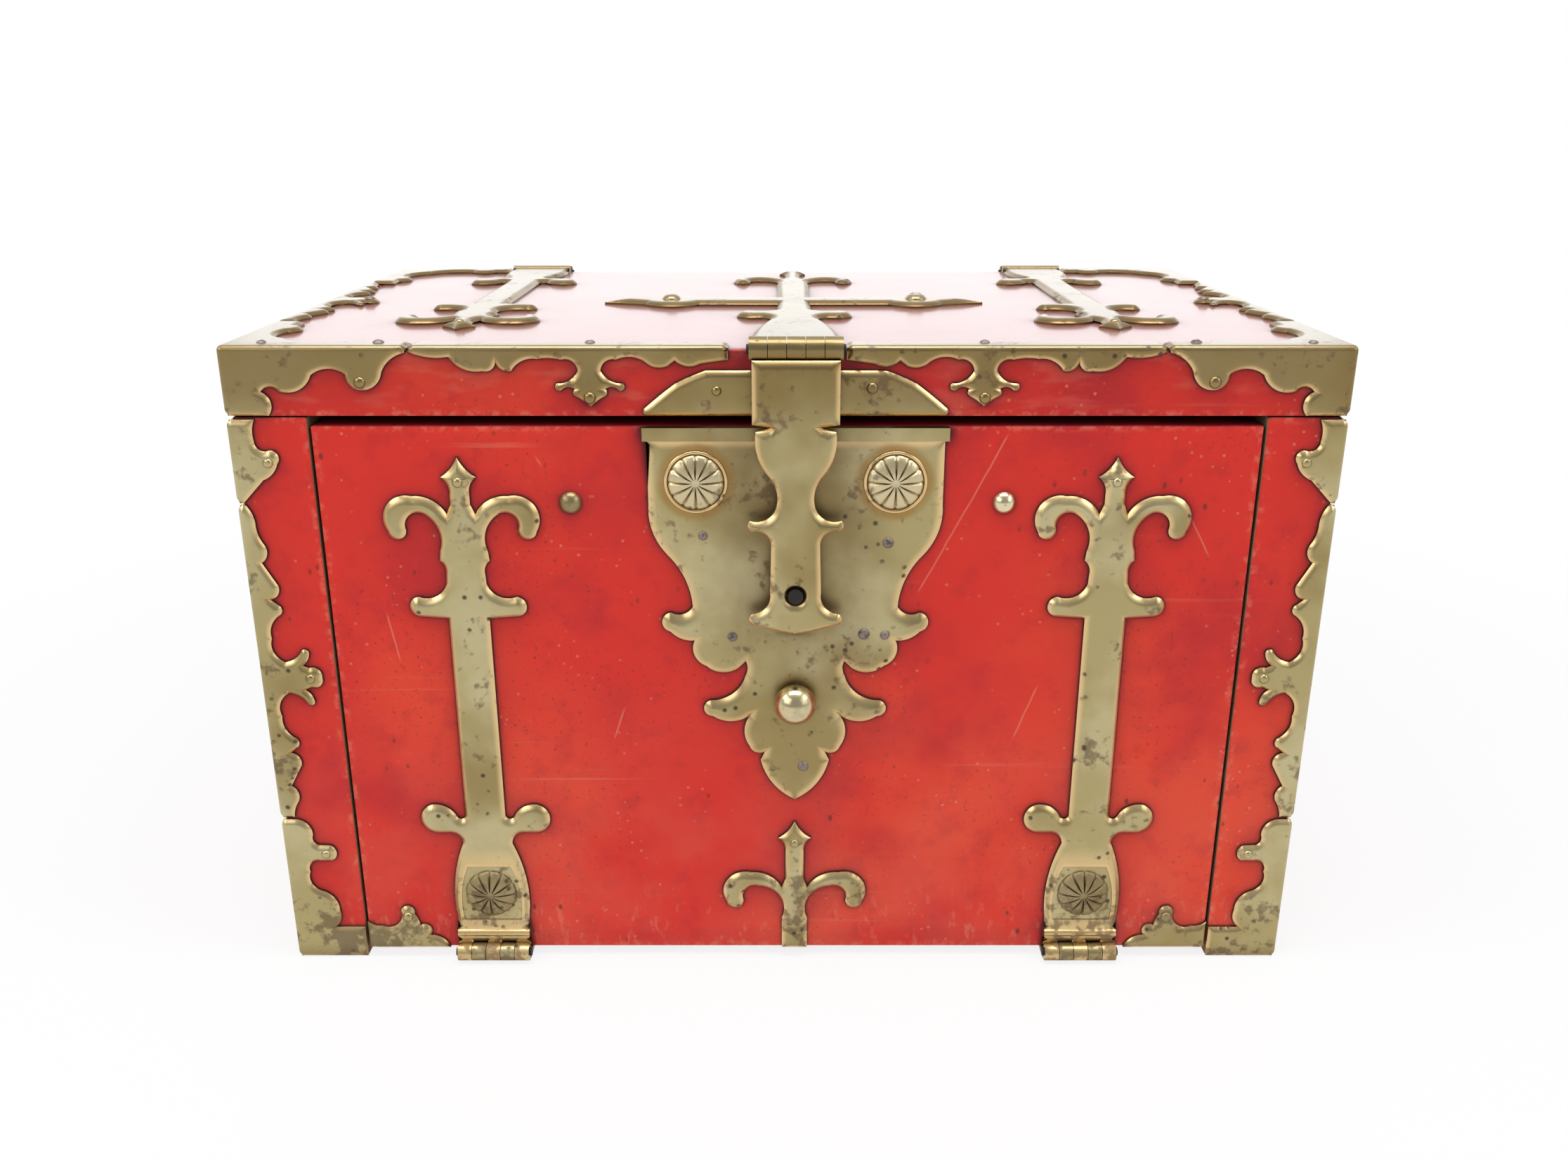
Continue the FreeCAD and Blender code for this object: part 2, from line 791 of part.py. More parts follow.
def rosette():
    rim = 1.2
    profile = trace((0.0, 0.0), [
        (rosette_radius, 0.0),
        (rosette_radius, rim),
        (0.72 * rosette_radius, 2.8, 2.2, 3.1),
        (0.0, 2.4),
        (0.0, 0.0),
    ])
    dome = Part.Face(Part.Wire(profile)).revolve(CENTRE, Y_AXIS, 360)
    dome = turned(dome, X_AXIS, 90)
    groove_radius = 0.55
    groove_start = V(2.9, 0, 3.2)
    groove_slope = V(rosette_radius - groove_start.x, 0, rim + 0.2 - groove_start.z)
    grooves = []
    for petal in range(rosette_petals):
        groove = Part.makeCylinder(groove_radius, rosette_radius, groove_start, groove_slope)
        grooves.append(turned(groove, Z_AXIS, petal * 360.0 / rosette_petals))
    return dome.cut(Part.makeCompound(grooves))


def dome_step(radius, low, high):
    # An arc of a sphere about the axis, from a rim of the radius at low to the pole at high.
    rise = high - low
    sphere = (radius * radius + rise * rise) / (2 * rise)
    half_angle = math.atan2(radius, sphere - rise) / 2
    return (sphere * math.sin(half_angle), high - sphere * (1 - math.cos(half_angle)), 0.0, high)


def turned_knob(steps):
    knob = Part.Face(Part.Wire(trace((0.0, 0.0), steps))).revolve(CENTRE, Y_AXIS, 360)
    return turned(knob, X_AXIS, 90)


def make_front_brass():
    shield_y = front_y - shield_plate
    strap_y = front_y - strap_plate + recess_depth
    flower = rosette()
    flowers = []
    for side in (-1, 1):
        shield_x = column_x + side * rosette_shield_x
        flowers.append(facing_front(flower, shield_x, panel_top - rosette_shield_drop, shield_y))
        flowers.append(facing_front(flower, side * front_strap_x, front_axis_z + rosette_strap_rise, strap_y))
    export("rosettes", Part.makeCompound(flowers))
    knob_z = panel_top - shield_waist - knob_below_waist * shield_stretch
    knob_steps = [(5.2, 0.0), (4.4, 1.6), (7.4, 3.0, 7.8, 6.0), dome_step(7.8, 6.0, 11.6), (0.0, 0.0)]
    export("pull_knob", facing_front(turned_knob(knob_steps), column_x, knob_z, shield_y))
    stud_steps = [(4.2, 0.0), dome_step(4.2, 0.0, 2.6), (0.0, 0.0)]
    stud = turned_knob(stud_steps)
    stud_x = front_strap_x - stud_strap_gap
    studs = [facing_front(stud, side * stud_x, panel_top - stud_drop) for side in (-1, 1)]
    export("panel_studs", Part.makeCompound(studs))
    export("bottom_fleur", facing_front(small_fleur(), column_x, panel_lift))
    corner = facing_front(panel_corner(), -panel_half, panel_lift)
    export("panel_corner_left", corner)
    export("panel_corner_right", across_x(corner))


# Lock in the drop front
def make_lock():
    outer = lock_window(-lock_fit)
    box = outer.BoundBox
    hollow = block(box.XMin + lock_wall, box.XMax - lock_wall, box.YMin + lock_wall, box.YMax,
                   box.ZMin + lock_wall, box.ZMax - lock_wall)
    case = outer.cut(hollow)
    bolt_z = (staple_low + staple_high) / 2
    rail_gap = bolt_height / 2 + bolt_clearance
    rail_end = column_x - staple_width / 2 - slot_margin
    for side in (-1, 1):
        near = bolt_z + side * rail_gap
        far = near + side * lock_wall
        rail = block(box.XMin, rail_end, box.YMin, box.YMax - lock_wall, min(near, far), max(near, far))
        case = case.fuse(rail)
    case = case.cut(staple_slot(front_y, front_y + lock_wall))
    export("lock_case", case.removeSplitter())
    cover = block(box.XMin - cover_margin, box.XMax + cover_margin, panel_back_y, panel_back_y + lock_wall,
                  box.ZMin - cover_margin, box.ZMax + cover_margin)
    upright = [edge for edge in cover.Edges if edge.BoundBox.YLength > lock_wall / 2]
    export("lock_cover", cover.makeFillet(cover_margin / 2, upright))
    nose_tip = column_x - staple_width / 2 - bolt_rest_gap
    shoulder = nose_tip - bolt_nose_length
    nose_y = front_y + staple_depth - staple_eye - staple_eye_wall
    nose = Part.makeCylinder(bolt_nose, bolt_nose_length, V(shoulder, nose_y, bolt_z), X_AXIS)
    tail = block(box.XMin + lock_wall + bolt_back_gap, shoulder, box.YMin + lock_wall + bolt_clearance,
                 panel_back_y - bolt_clearance, bolt_z - bolt_height / 2, bolt_z + bolt_height / 2)
    export("lock_bolt", tail.fuse(nose))


# Hasp
def make_hasp():
    head = cross_strap_length - fleur_head - cross_strap_neck
    steps = cross_strap_steps() + fleur_steps(7.6, head, cross_strap_neck)
    leaf = symmetric_plate((hasp_barrel_width / 2, 0.0), steps, strap_plate)
    lowered = moved(leaf, 0, 0, -hasp_axis_rise)
    hinge = hinge_leaf(lowered, hasp_barrel_width, hasp_barrel_radius, 0)
    export("hasp_strap", moved(hinge, column_x, hasp_axis_y, hasp_axis_z))
    export("hasp_pin", moved(hinge_pin(hasp_barrel_width), column_x, hasp_axis_y, hasp_axis_z))
    tongue = symmetric_plate((hasp_half, -hasp_root), hasp_steps(), hasp_plate)
    hole = Part.makeCylinder(rivet_radius + rivet_clearance, hasp_plate, V(0, -rivet_drop, 0))
    tongue = facing_front(tongue.cut(hole), 0, 0, -hasp_standoff)
    web = block(-hasp_half, hasp_half, -hasp_standoff, -hasp_web_back, -hasp_web, -hasp_root)
    tongue = tongue.fuse(web)
    hasp = hinge_leaf(tongue, hasp_barrel_width, hasp_barrel_radius, 1)
    export("hasp", moved(hasp, column_x, hasp_axis_y, hasp_axis_z))


def make_staple():
    half = staple_width / 2
    tip_y = front_y + staple_depth
    foot = block(-half, half, hasp_back_y, hasp_back_y + staple_foot, staple_low, rivet_z + rivet_radius)
    lug = block(-half, half, hasp_back_y, tip_y, staple_low, staple_high)
    eye_y = tip_y - staple_eye - staple_eye_wall
    eye = Part.makeCylinder(staple_eye, staple_width * 2,
                            V(-staple_width, eye_y, (staple_low + staple_high) / 2), X_AXIS)
    rivet = Part.makeCylinder(rivet_radius, hasp_plate, V(0, hasp_back_y, rivet_z), -Y_AXIS)
    staple = foot.fuse([lug, rivet]).cut(eye).removeSplitter()
    export("hasp_staple", moved(staple, column_x, 0, 0))


# Carrying handles on the sides
def handle_plate():
    half = handle_plate_half
    rise = handle_plate_height / 2
    steps = [
        (8.0, -rise - 4.4, 14.0, -rise),
        (half - handle_corner, -rise),
        (half, 0.0, half - handle_corner, rise),
        (14.0, rise),
        (8.0, rise + 4.4, 0.0, rise + 6.0),
    ]
    face = symmetric_plate((0.0, -rise - 6.0), steps, edge_plate)
    hole_radius = handle_rod + handle_clearance
    for side in (-1, 1):
        x0 = side * handle_span / 2 - handle_lug / 2
        eye = Part.makeCylinder(handle_lug_radius, handle_lug, V(x0, 0, handle_axis_proud), X_AXIS)
        neck = block(x0, x0 + handle_lug, -handle_lug_radius, handle_lug_radius, 0, handle_axis_proud)
        hole = Part.makeCylinder(hole_radius, handle_lug, V(x0, 0, handle_axis_proud), X_AXIS)
        face = face.fuse([eye, neck]).cut(hole)
    return face.removeSplitter()


def bail():
    # A round rod: two ends in the eyes, two legs and the grip, in the plane of the plate.
    inner = handle_span / 2 - handle_lug / 2 - handle_lug_gap
    leg = handle_span / 2 + handle_lug / 2 + handle_lug_gap + handle_rod
    bend = 1.4 * handle_rod
    grip_bend = 14.0
    shoulder = bend * math.sqrt(0.5)
    grip = grip_bend * math.sqrt(0.5)
    path = [Part.LineSegment(V(-inner, 0), V(-leg, 0)).toShape()]
    corner = -leg - bend
    path.append(Part.Arc(V(-leg, 0), V(-leg - shoulder, -bend + shoulder), V(corner, -bend)).toShape())
    low = -handle_drop
    path.append(Part.LineSegment(V(corner, -bend), V(corner, low + grip_bend)).toShape())
    path.append(Part.Arc(V(corner, low + grip_bend), V(corner + grip_bend - grip, low + grip_bend - grip),
                         V(corner + grip_bend, low)).toShape())
    path.append(Part.LineSegment(V(corner + grip_bend, low), V(0, low)).toShape())
    wire = Part.Wire(path)
    start = Part.Wire(Part.Circle(V(-inner, 0), X_AXIS, handle_rod).toShape())
    half_rod = wire.makePipeShell([start], True, False)
    return half_rod.fuse(across_x(half_rod)).removeSplitter()


def make_handles():
    eye_plate = facing_front(handle_plate(), 0, handle_z, 0)
    rod = facing_front(moved(bail(), 0, 0, handle_axis_proud), 0, handle_z, 0)
    for angle, side, name in ((-90, -1, "left"), (90, 1, "right")):
        export("handle_plate_" + name, moved(turned(eye_plate, Z_AXIS, angle), side * half_width, 0, 0))
        export("handle_bail_" + name, moved(turned(rod, Z_AXIS, angle), side * half_width, 0, 0))


os.makedirs("parts", exist_ok=True)
make_boards()
make_lid_boards()
make_edge_brass()
make_lid_brass()
make_lid_hinges()
make_front_panel()
make_front_hinges()
make_shield()
make_front_brass()
make_lock()
make_hasp()
make_staple()
make_handles()
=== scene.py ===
import json
import math

import bmesh
import bpy
import numpy
from mathutils import Matrix, Quaternion, Vector


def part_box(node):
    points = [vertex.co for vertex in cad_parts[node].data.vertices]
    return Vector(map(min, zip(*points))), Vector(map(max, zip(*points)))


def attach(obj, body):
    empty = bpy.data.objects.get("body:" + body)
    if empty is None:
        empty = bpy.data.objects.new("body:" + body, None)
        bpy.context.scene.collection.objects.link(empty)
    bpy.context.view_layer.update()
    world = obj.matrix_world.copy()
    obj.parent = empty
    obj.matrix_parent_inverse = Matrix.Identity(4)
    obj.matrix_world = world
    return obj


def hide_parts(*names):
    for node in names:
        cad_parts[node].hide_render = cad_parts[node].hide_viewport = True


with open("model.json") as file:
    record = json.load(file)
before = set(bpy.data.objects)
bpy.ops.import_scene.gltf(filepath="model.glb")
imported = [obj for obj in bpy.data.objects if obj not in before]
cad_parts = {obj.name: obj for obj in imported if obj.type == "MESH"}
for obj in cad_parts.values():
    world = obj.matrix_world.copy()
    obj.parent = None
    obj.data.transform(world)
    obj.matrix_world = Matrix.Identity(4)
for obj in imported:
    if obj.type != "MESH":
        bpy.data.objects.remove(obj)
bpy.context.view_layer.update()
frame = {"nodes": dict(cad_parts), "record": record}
mm = 0.001
weld = 0.002 * mm  # points closer than this are one
smoothAngle = math.radians(38)
bodyOf = {node: body for body, nodes in frame["record"]["behaviour"]["bodies"].items() for node in nodes}
left, right = Vector((-1, 0, 0)), Vector((1, 0, 0))
front, back = Vector((0, -1, 0)), Vector((0, 1, 0))
down, up = Vector((0, 0, -1)), Vector((0, 0, 1))


# Shader maths: a socket that can be used in sums
class Socket:
    def __init__(self, finish, output):
        self.finish = finish
        self.output = output

    def sum(self, operation, first, second):
        return self.finish.add("ShaderNodeMath", {"operation": operation}, {0: first, 1: second})

    def __add__(self, other):
        return self.sum("ADD", self, other)

    def __radd__(self, other):
        return self.sum("ADD", other, self)

    def __sub__(self, other):
        return self.sum("SUBTRACT", self, other)

    def __rsub__(self, other):
        return self.sum("SUBTRACT", other, self)

    def __mul__(self, other):
        return self.sum("MULTIPLY", self, other)

    def __rmul__(self, other):
        return self.sum("MULTIPLY", other, self)

    def atLeast(self, other):
        return self.sum("MAXIMUM", self, other)

    def atMost(self, other):
        return self.sum("MINIMUM", self, other)

    def size(self):
        return self.sum("ABSOLUTE", self, 0.0)

    def between(self, low, high):  # 0 at low, 1 at high, eased
        settings = {"interpolation_type": "SMOOTHSTEP"}
        sockets = {"Value": self, "From Min": low, "From Max": high}
        return self.finish.add("ShaderNodeMapRange", settings, sockets)


class Finish:
    def __init__(self, name):
        self.material = bpy.data.materials.new(name)
        self.material.use_nodes = True
        self.tree = self.material.node_tree
        self.shader = self.tree.nodes["Principled BSDF"]
        self.place = self.add("ShaderNodeTexCoord", {}, {}, "Object")

    def add(self, kind, settings, sockets, output=0):
        node = self.tree.nodes.new(kind)
        for name, value in settings.items():
            setattr(node, name, value)
        for name, value in sockets.items():
            self.plug(node.inputs[name], value)
        return Socket(self, node.outputs[output])

    def plug(self, socket, value):
        if isinstance(value, Socket):
            self.tree.links.new(value.output, socket)
        else:
            socket.default_value = value

    def set(self, **sockets):
        for name, value in sockets.items():
            self.plug(self.shader.inputs[name.replace("_", " ")], value)

    def noise(self, scale, detail=3.0, place=None, roughness=0.55):
        sockets = {"Vector": place or self.place, "Scale": scale, "Detail": detail, "Roughness": roughness}
        return self.add("ShaderNodeTexNoise", {}, sockets)

    def mask(self, scale, detail, low, high, place=None):  # noise that starts at low and is full at high
        return self.noise(scale, detail, place).between(low, high)

    def dots(self, scale, full, gone, place=None):  # scattered round specks
        sockets = {"Vector": place or self.place, "Scale": scale, "Randomness": 1.0}
        return 1.0 - self.add("ShaderNodeTexVoronoi", {}, sockets, "Distance").between(full, gone)

    def wear(self, layer):  # a layer's mask or dots, kept to where it lies
        place = self.stretched(layer["stretch"]) if "stretch" in layer else None
        share = self.dots(*layer["dots"], place) if "dots" in layer else self.mask(*layer["mask"], place)
        if "where" in layer:
            turned = self.stretched((1.0, 1.0, 1.0), layer["turn"]) if "turn" in layer else None
            share = share * self.mask(*layer["where"], turned)
        if "below" in layer:
            share = share * (1.0 - self.axis("Z").between(*layer["below"]))
        return share

    def stretched(self, scale, turn=(0.0, 0.0, 0.0)):
        return self.add("ShaderNodeMapping", {}, {"Vector": self.place, "Rotation": turn, "Scale": scale}, 0)

    def axis(self, name):
        return self.add("ShaderNodeSeparateXYZ", {}, {"Vector": self.place}, name)

    def mix(self, share, first, second):
        settings = {"data_type": "RGBA", "clamp_factor": True}
        return self.add("ShaderNodeMix", settings, {0: share, 6: first, 7: second}, 2)

    def rim(self):  # 1 on a piece's edges, 0 on its flats
        return self.add("ShaderNodeAttribute", {"attribute_name": "rim"}, {}, "Fac")

    def crevice(self, reach, low, high):  # 1 where another surface is close
        near = 1.0 - self.add("ShaderNodeAmbientOcclusion", {"samples": 6}, {"Distance": reach}, "AO")
        return near.between(low, high)

    def bump(self, height, strength, distance):
        sockets = {"Height": height, "Strength": strength, "Distance": distance}
        self.set(Normal=self.add("ShaderNodeBump", {}, sockets))


# Finishes: noise is (scale, detail), mask (scale, detail, from, full), dots (scale, full, gone),
# crevice (reach, from, full), spread (least, more with the noise), and share how much of the colour is mixed in
def spread(noise, span):
    return span[0] + span[1] * noise


paintLook = {
    "vermilion": (0.66, 0.028, 0.017, 1), "orange": (0.73, 0.054, 0.022, 1), "crimson": (0.45, 0.017, 0.022, 1),
    "purpleGrimeAndShade": (0.13, 0.008, 0.020, 1), "paintedShadow": (0.034, 0.008, 0.009, 1), "deep": (0.15, 0.010, 0.011, 1),
    "scuff": (0.74, 0.19, 0.12, 1), "chip": (0.11, 0.024, 0.018, 1), "specular": 0.25,
    "lidFrom": (221 * mm, 225 * mm), "lidShade": 0.12, "mostScuffed": 0.8,
    "clouds": {"noise": (7, 3), "edge": (0.44, 0.66)},
    "patches": {"noise": (19, 4), "edge": (0.50, 0.72), "share": 0.65},
    "mottle": {"noise": (95, 3), "edge": (0.50, 0.74), "share": 0.4},
    "grain": {"noise": (70, 4), "stretch": (0.3, 1.0, 2.4)},
    "specks": {"mask": (520, 2, 0.60, 0.72), "where": (13, 3, 0.42, 0.60), "share": 0.55},
    "flecks": {"dots": (240, 0.08, 0.19), "where": (42, 3, 0.50, 0.62), "share": 0.7},
    "worn": {"mask": (330, 4, 0.46, 0.66), "rim": (0.5, 1.0), "share": 0.5},
    "streaks": {"mask": (55, 5, 0.62, 0.74), "stretch": (0.10, 1.0, 5.0), "where": (12, 3, 0.44, 0.62), "share": 0.4},
    "knocks": {"mask": (240, 3, 0.56, 0.70), "stretch": (1.3, 1.0, 0.55), "below": (12 * mm, 40 * mm), "share": 0.4},
    "dust": {"mask": (30, 4, 0.30, 0.65), "below": (30 * mm, 140 * mm), "share": 0.17},
    "rubs": {"mask": (95, 4, 0.48, 0.68), "stretch": (0.45, 1.0, 1.5), "share": 0.24},
    "pits": {"dots": (160, 0.08, 0.17), "stretch": (1.0, 1.0, 0.6), "where": (27, 3, 0.56, 0.62),
             "turn": (0.4, 0.2, 0.9), "share": 0.75},
    "halo": {"crevice": (15 * mm, 0.012, 0.19), "noise": (60, 3), "spread": (0.55, 0.6), "nearFloor": (6 * mm, 28 * mm),
             "floorSpread": (0.2, 0.8), "share": 0.85},
    "shadowLines": {"crevice": (3 * mm, 0.10, 0.40), "share": 0.85},
    "scratches": {"width": (0.15 * mm, 0.5 * mm), "wobble": (60, 2), "fade": 4 * mm, "front": (-122 * mm, -121 * mm),
                  "share": 0.62},
    "scratchEnds": (  # (x, z) of both ends, on the front
        ((79.8, 219.0), (48.3, 156.9)), ((-91.5, 211.0), (-88.0, 205.0)), ((96.0, 121.0), (87.0, 97.0)),
        ((-150.0, 151.0), (-146.5, 129.0)), ((-62.0, 112.0), (-67.0, 97.0)), ((147.0, 188.0), (156.0, 171.0)),
    ),
    "roughness": {"plain": 0.34, "patches": 0.12, "halo": 0.25, "polish": 0.1},
    "polish": {"crimson": 0.5, "deep": (0.35, 0.25), "unscuffed": 0.5, "underHalo": 0.4, "coatIor": 1.6,
               "coatRoughness": 0.12, "sheen": 0.2, "sheenRoughness": 0.35},
    "bump": {"grain": 0.5, "patches": 0.5, "pits": 0.8, "scratches": 0.5, "strength": 0.2, "distance": 0.5 * mm},
}


def makeRedPaint(name, polish):
    look, polished = paintLook, paintLook["polish"]
    paint = Finish(name)
    clouds, patches, mottle = (paint.noise(*look[kind]["noise"]) for kind in ("clouds", "patches", "mottle"))
    grain = paint.noise(*look["grain"]["noise"], paint.stretched(look["grain"]["stretch"]))
    high = paint.axis("Z")
    onLid = high.between(*look["lidFrom"])
    colour = paint.mix(clouds.between(*look["clouds"]["edge"]), look["vermilion"], look["orange"])
    colour = paint.mix(patches.between(*look["patches"]["edge"]) * look["patches"]["share"], colour, look["crimson"])
    share = mottle.between(*look["mottle"]["edge"]) * look["mottle"]["share"] + polish * polished["crimson"]
    colour = paint.mix(share, colour, look["crimson"])
    # the lid, above 221 to 225 mm, is mixed a little towards deep red as painted shade; on the polished top the deeper
    # red is the lacquer's own colour
    share = polish * spread(clouds, polished["deep"]) + look["lidShade"] * onLid
    colour = paint.mix(share, colour, look["deep"])
    colour = paint.mix(paint.wear(look["specks"]) * look["specks"]["share"], colour, look["chip"])
    scuffs = {kind: paint.wear(look[kind]) for kind in ("flecks", "worn", "streaks", "knocks", "dust", "rubs")}
    scuffs["worn"] = scuffs["worn"] * paint.rim().between(*look["worn"]["rim"])
    scuffs["rubs"] = scuffs["rubs"] * onLid * (1.0 - polish)
    scuffs["scratches"] = sum(scratchLine(paint, *ends) for ends in look["scratchEnds"]).atMost(1.0)
    scuff = sum(mask * look[kind]["share"] for kind, mask in scuffs.items())
    scuff = scuff.atMost(look["mostScuffed"]) * (1.0 - polished["unscuffed"] * polish)
    colour = paint.mix(scuff, colour, look["scuff"])
    pits = paint.wear(look["pits"])
    colour = paint.mix(pits * look["pits"]["share"], colour, look["chip"])
    # halo: purple wherever another surface is within 15 mm, so mostly beside the brass and less near the floor; partly
    # grime, partly painted shade read from occlusion
    halo = paint.crevice(*look["halo"]["crevice"])
    halo = halo * spread(paint.noise(*look["halo"]["noise"]), look["halo"]["spread"]).atMost(1.0)
    halo = halo * spread(high.between(*look["halo"]["nearFloor"]), look["halo"]["floorSpread"])
    colour = paint.mix(halo * look["halo"]["share"], colour, look["purpleGrimeAndShade"])
    # painted shadow: near-black wherever another surface is within 3 mm, the contact shadows along the brass edges
    colour = paint.mix(paint.crevice(*look["shadowLines"]["crevice"]) * look["shadowLines"]["share"], colour, look["paintedShadow"])
    rough = look["roughness"]
    paint.set(Roughness=rough["plain"] + patches * rough["patches"] + halo * rough["halo"] - polish * rough["polish"])
    paint.set(Base_Color=colour, Specular_IOR_Level=look["specular"])
    if polish:
        paint.set(Coat_Weight=polish * (1.0 - polished["underHalo"] * halo), Coat_IOR=polished["coatIor"])
        paint.set(Coat_Roughness=polished["coatRoughness"])
        paint.set(Sheen_Weight=polish * polished["sheen"], Sheen_Roughness=polished["sheenRoughness"])
    bump = look["bump"]
    height = grain * bump["grain"] + patches * bump["patches"] - pits * bump["pits"]
    paint.bump(height - scuffs["scratches"] * bump["scratches"], bump["strength"], bump["distance"])
    return paint.material


def scratchLine(paint, start, end):
    look = paintLook["scratches"]
    start, end = Vector(start) * mm, Vector(end) * mm
    length = (end - start).length
    run = (end - start) / length
    x, z = paint.axis("X") - start[0], paint.axis("Z") - start[1]
    along = x * run[0] + z * run[1]
    across = (x * run[1] - z * run[0] + (paint.noise(*look["wobble"]) - 0.5) * mm).size()
    fade = along.between(0.0, look["fade"]) * (1.0 - along.between(length - look["fade"], length))
    onFront = 1.0 - paint.axis("Y").between(*look["front"])
    return (1.0 - across.between(*look["width"])) * fade * onFront


woodLook = {
    "pale": (0.37, 0.22, 0.11, 1), "dark": (0.20, 0.105, 0.047, 1), "line": (0.095, 0.048, 0.022, 1),
    "dust": (0.33, 0.26, 0.185, 1), "roughness": 0.72, "ringRoughness": 0.15, "squeeze": 0.05,
    "figure": {"noise": (24, 3), "edge": (0.36, 0.66), "share": 0.75},
    "rings": {"noise": (75, 4), "breakUp": 0.65, "edge": (0.50, 0.70), "share": 0.65},
    "fibres": {"noise": (420, 3), "edge": (0.56, 0.72), "share": 0.55},
    "dusty": {"mask": (13, 3, 0.48, 0.72), "share": 0.35},
    "grimeAndShade": {"crevice": (25 * mm, 0.25, 0.8), "share": 0.5},
    "bump": {"rings": 0.5, "fibres": 0.7, "strength": 0.3, "distance": 0.4 * mm},
}


def makeBareWood(name, grainAxis):  # grainAxis 0 for x, 1 for y
    look, bump = woodLook, woodLook["bump"]
    wood = Finish(name)
    along = [1.0, 1.0, 1.0]
    along[grainAxis] = look["squeeze"]
    place = wood.stretched(along)
    figure = wood.noise(*look["figure"]["noise"], place)
    rings = wood.noise(*look["rings"]["noise"], place, look["rings"]["breakUp"])
    fibres = wood.noise(*look["fibres"]["noise"], place)
    colour = look["pale"]
    for kind, noise, tint in (("figure", figure, "dark"), ("rings", rings, "dark"), ("fibres", fibres, "line")):
        colour = wood.mix(noise.between(*look[kind]["edge"]) * look[kind]["share"], colour, look[tint])
    colour = wood.mix(wood.wear(look["dusty"]) * look["dusty"]["share"], colour, look["dust"])
    # grime and painted shade: darker line colour within 25 mm of another surface, in the corners
    colour = wood.mix(wood.crevice(*look["grimeAndShade"]["crevice"]) * look["grimeAndShade"]["share"], colour, look["line"])
    wood.set(Base_Color=colour, Roughness=look["roughness"] + rings * look["ringRoughness"])
    wood.bump(rings * bump["rings"] + fibres * bump["fibres"], bump["strength"], bump["distance"])
    return wood.material


brassLook = {
    "khaki": (0.44, 0.362, 0.172, 1), "pale": (0.55, 0.475, 0.265, 1), "olive": (0.31, 0.230, 0.092, 1),
    "bronze": (0.225, 0.148, 0.052, 1), "golden": (0.78, 0.55, 0.27, 1), "brown": (0.12, 0.070, 0.032, 1),
    "tarnish": (0.040, 0.031, 0.025, 1), "cream": (0.80, 0.70, 0.48, 1), "ochre": (0.36, 0.205, 0.060, 1),
    "middle": 3 * mm, "middleReach": (34 * mm, 62 * mm), "lowDown": (16 * mm, 46 * mm), "fine": (230, 3),
    "clouds": {"noise": (24, 4), "edge": (0.40, 0.62)},
    "olives": {"noise": (17, 3), "middle": 0.07, "edge": (0.47, 0.68), "share": 0.85},
    "shadedHigh": {"height": (212 * mm, 236 * mm), "spread": (0.5, 0.45), "middle": 0.35},
    "shade": {"crevice": (10 * mm, 0.06, 0.40), "spread": (0.4, 0.5)},
    "edges": {"noise": (42, 3), "spread": (0.6, 0.8), "edge": (0.25, 0.95), "share": 0.8},
    "lidRimShade": {"height": (247.8 * mm, 248.1 * mm), "edge": (0.15, 0.75), "share": 0.8},
    "rubbed": {"spread": (0.35, 0.5)},
    "rings": {"noise": (110, 3), "spread": (0.3, 0.8)},
    "bright": {"share": 0.75, "grimeAndShade": 0.45},
    "stains": {"coarse": (48, 3), "fine": (300, 4), "shares": (0.55, 0.45), "low": 0.08, "edge": (0.555, 0.64),
               "share": 0.62},
    "pits": {"dots": (190, 0.10, 0.24), "noise": (34, 2), "low": 0.06, "edge": (0.54, 0.60), "share": 0.85},
    "grimeAndShade": {"crevice": (3 * mm, 0.30, 0.85), "share": 0.8},
    "darkened": {"noise": (170, 3), "spread": (0.35, 0.7), "most": 0.9, "dull": 0.5},
    "dull": {"stains": 0.35, "pits": 0.5, "most": 0.7},
    "lacquer": {"height": (248.5 * mm, 249.3 * mm), "rim": (0.0, 0.5), "weight": 0.9, "ior": 1.6, "roughness": 0.15},
    "roughness": {"plain": 0.30, "clouds": 0.12, "dull": 0.6, "edges": 0.14, "polish": 0.18},
    "polishCleans": 0.8,
    "bump": {"fine": 0.35, "clouds": 0.4, "pits": 0.8, "strength": 0.25, "distance": 0.5 * mm},
}
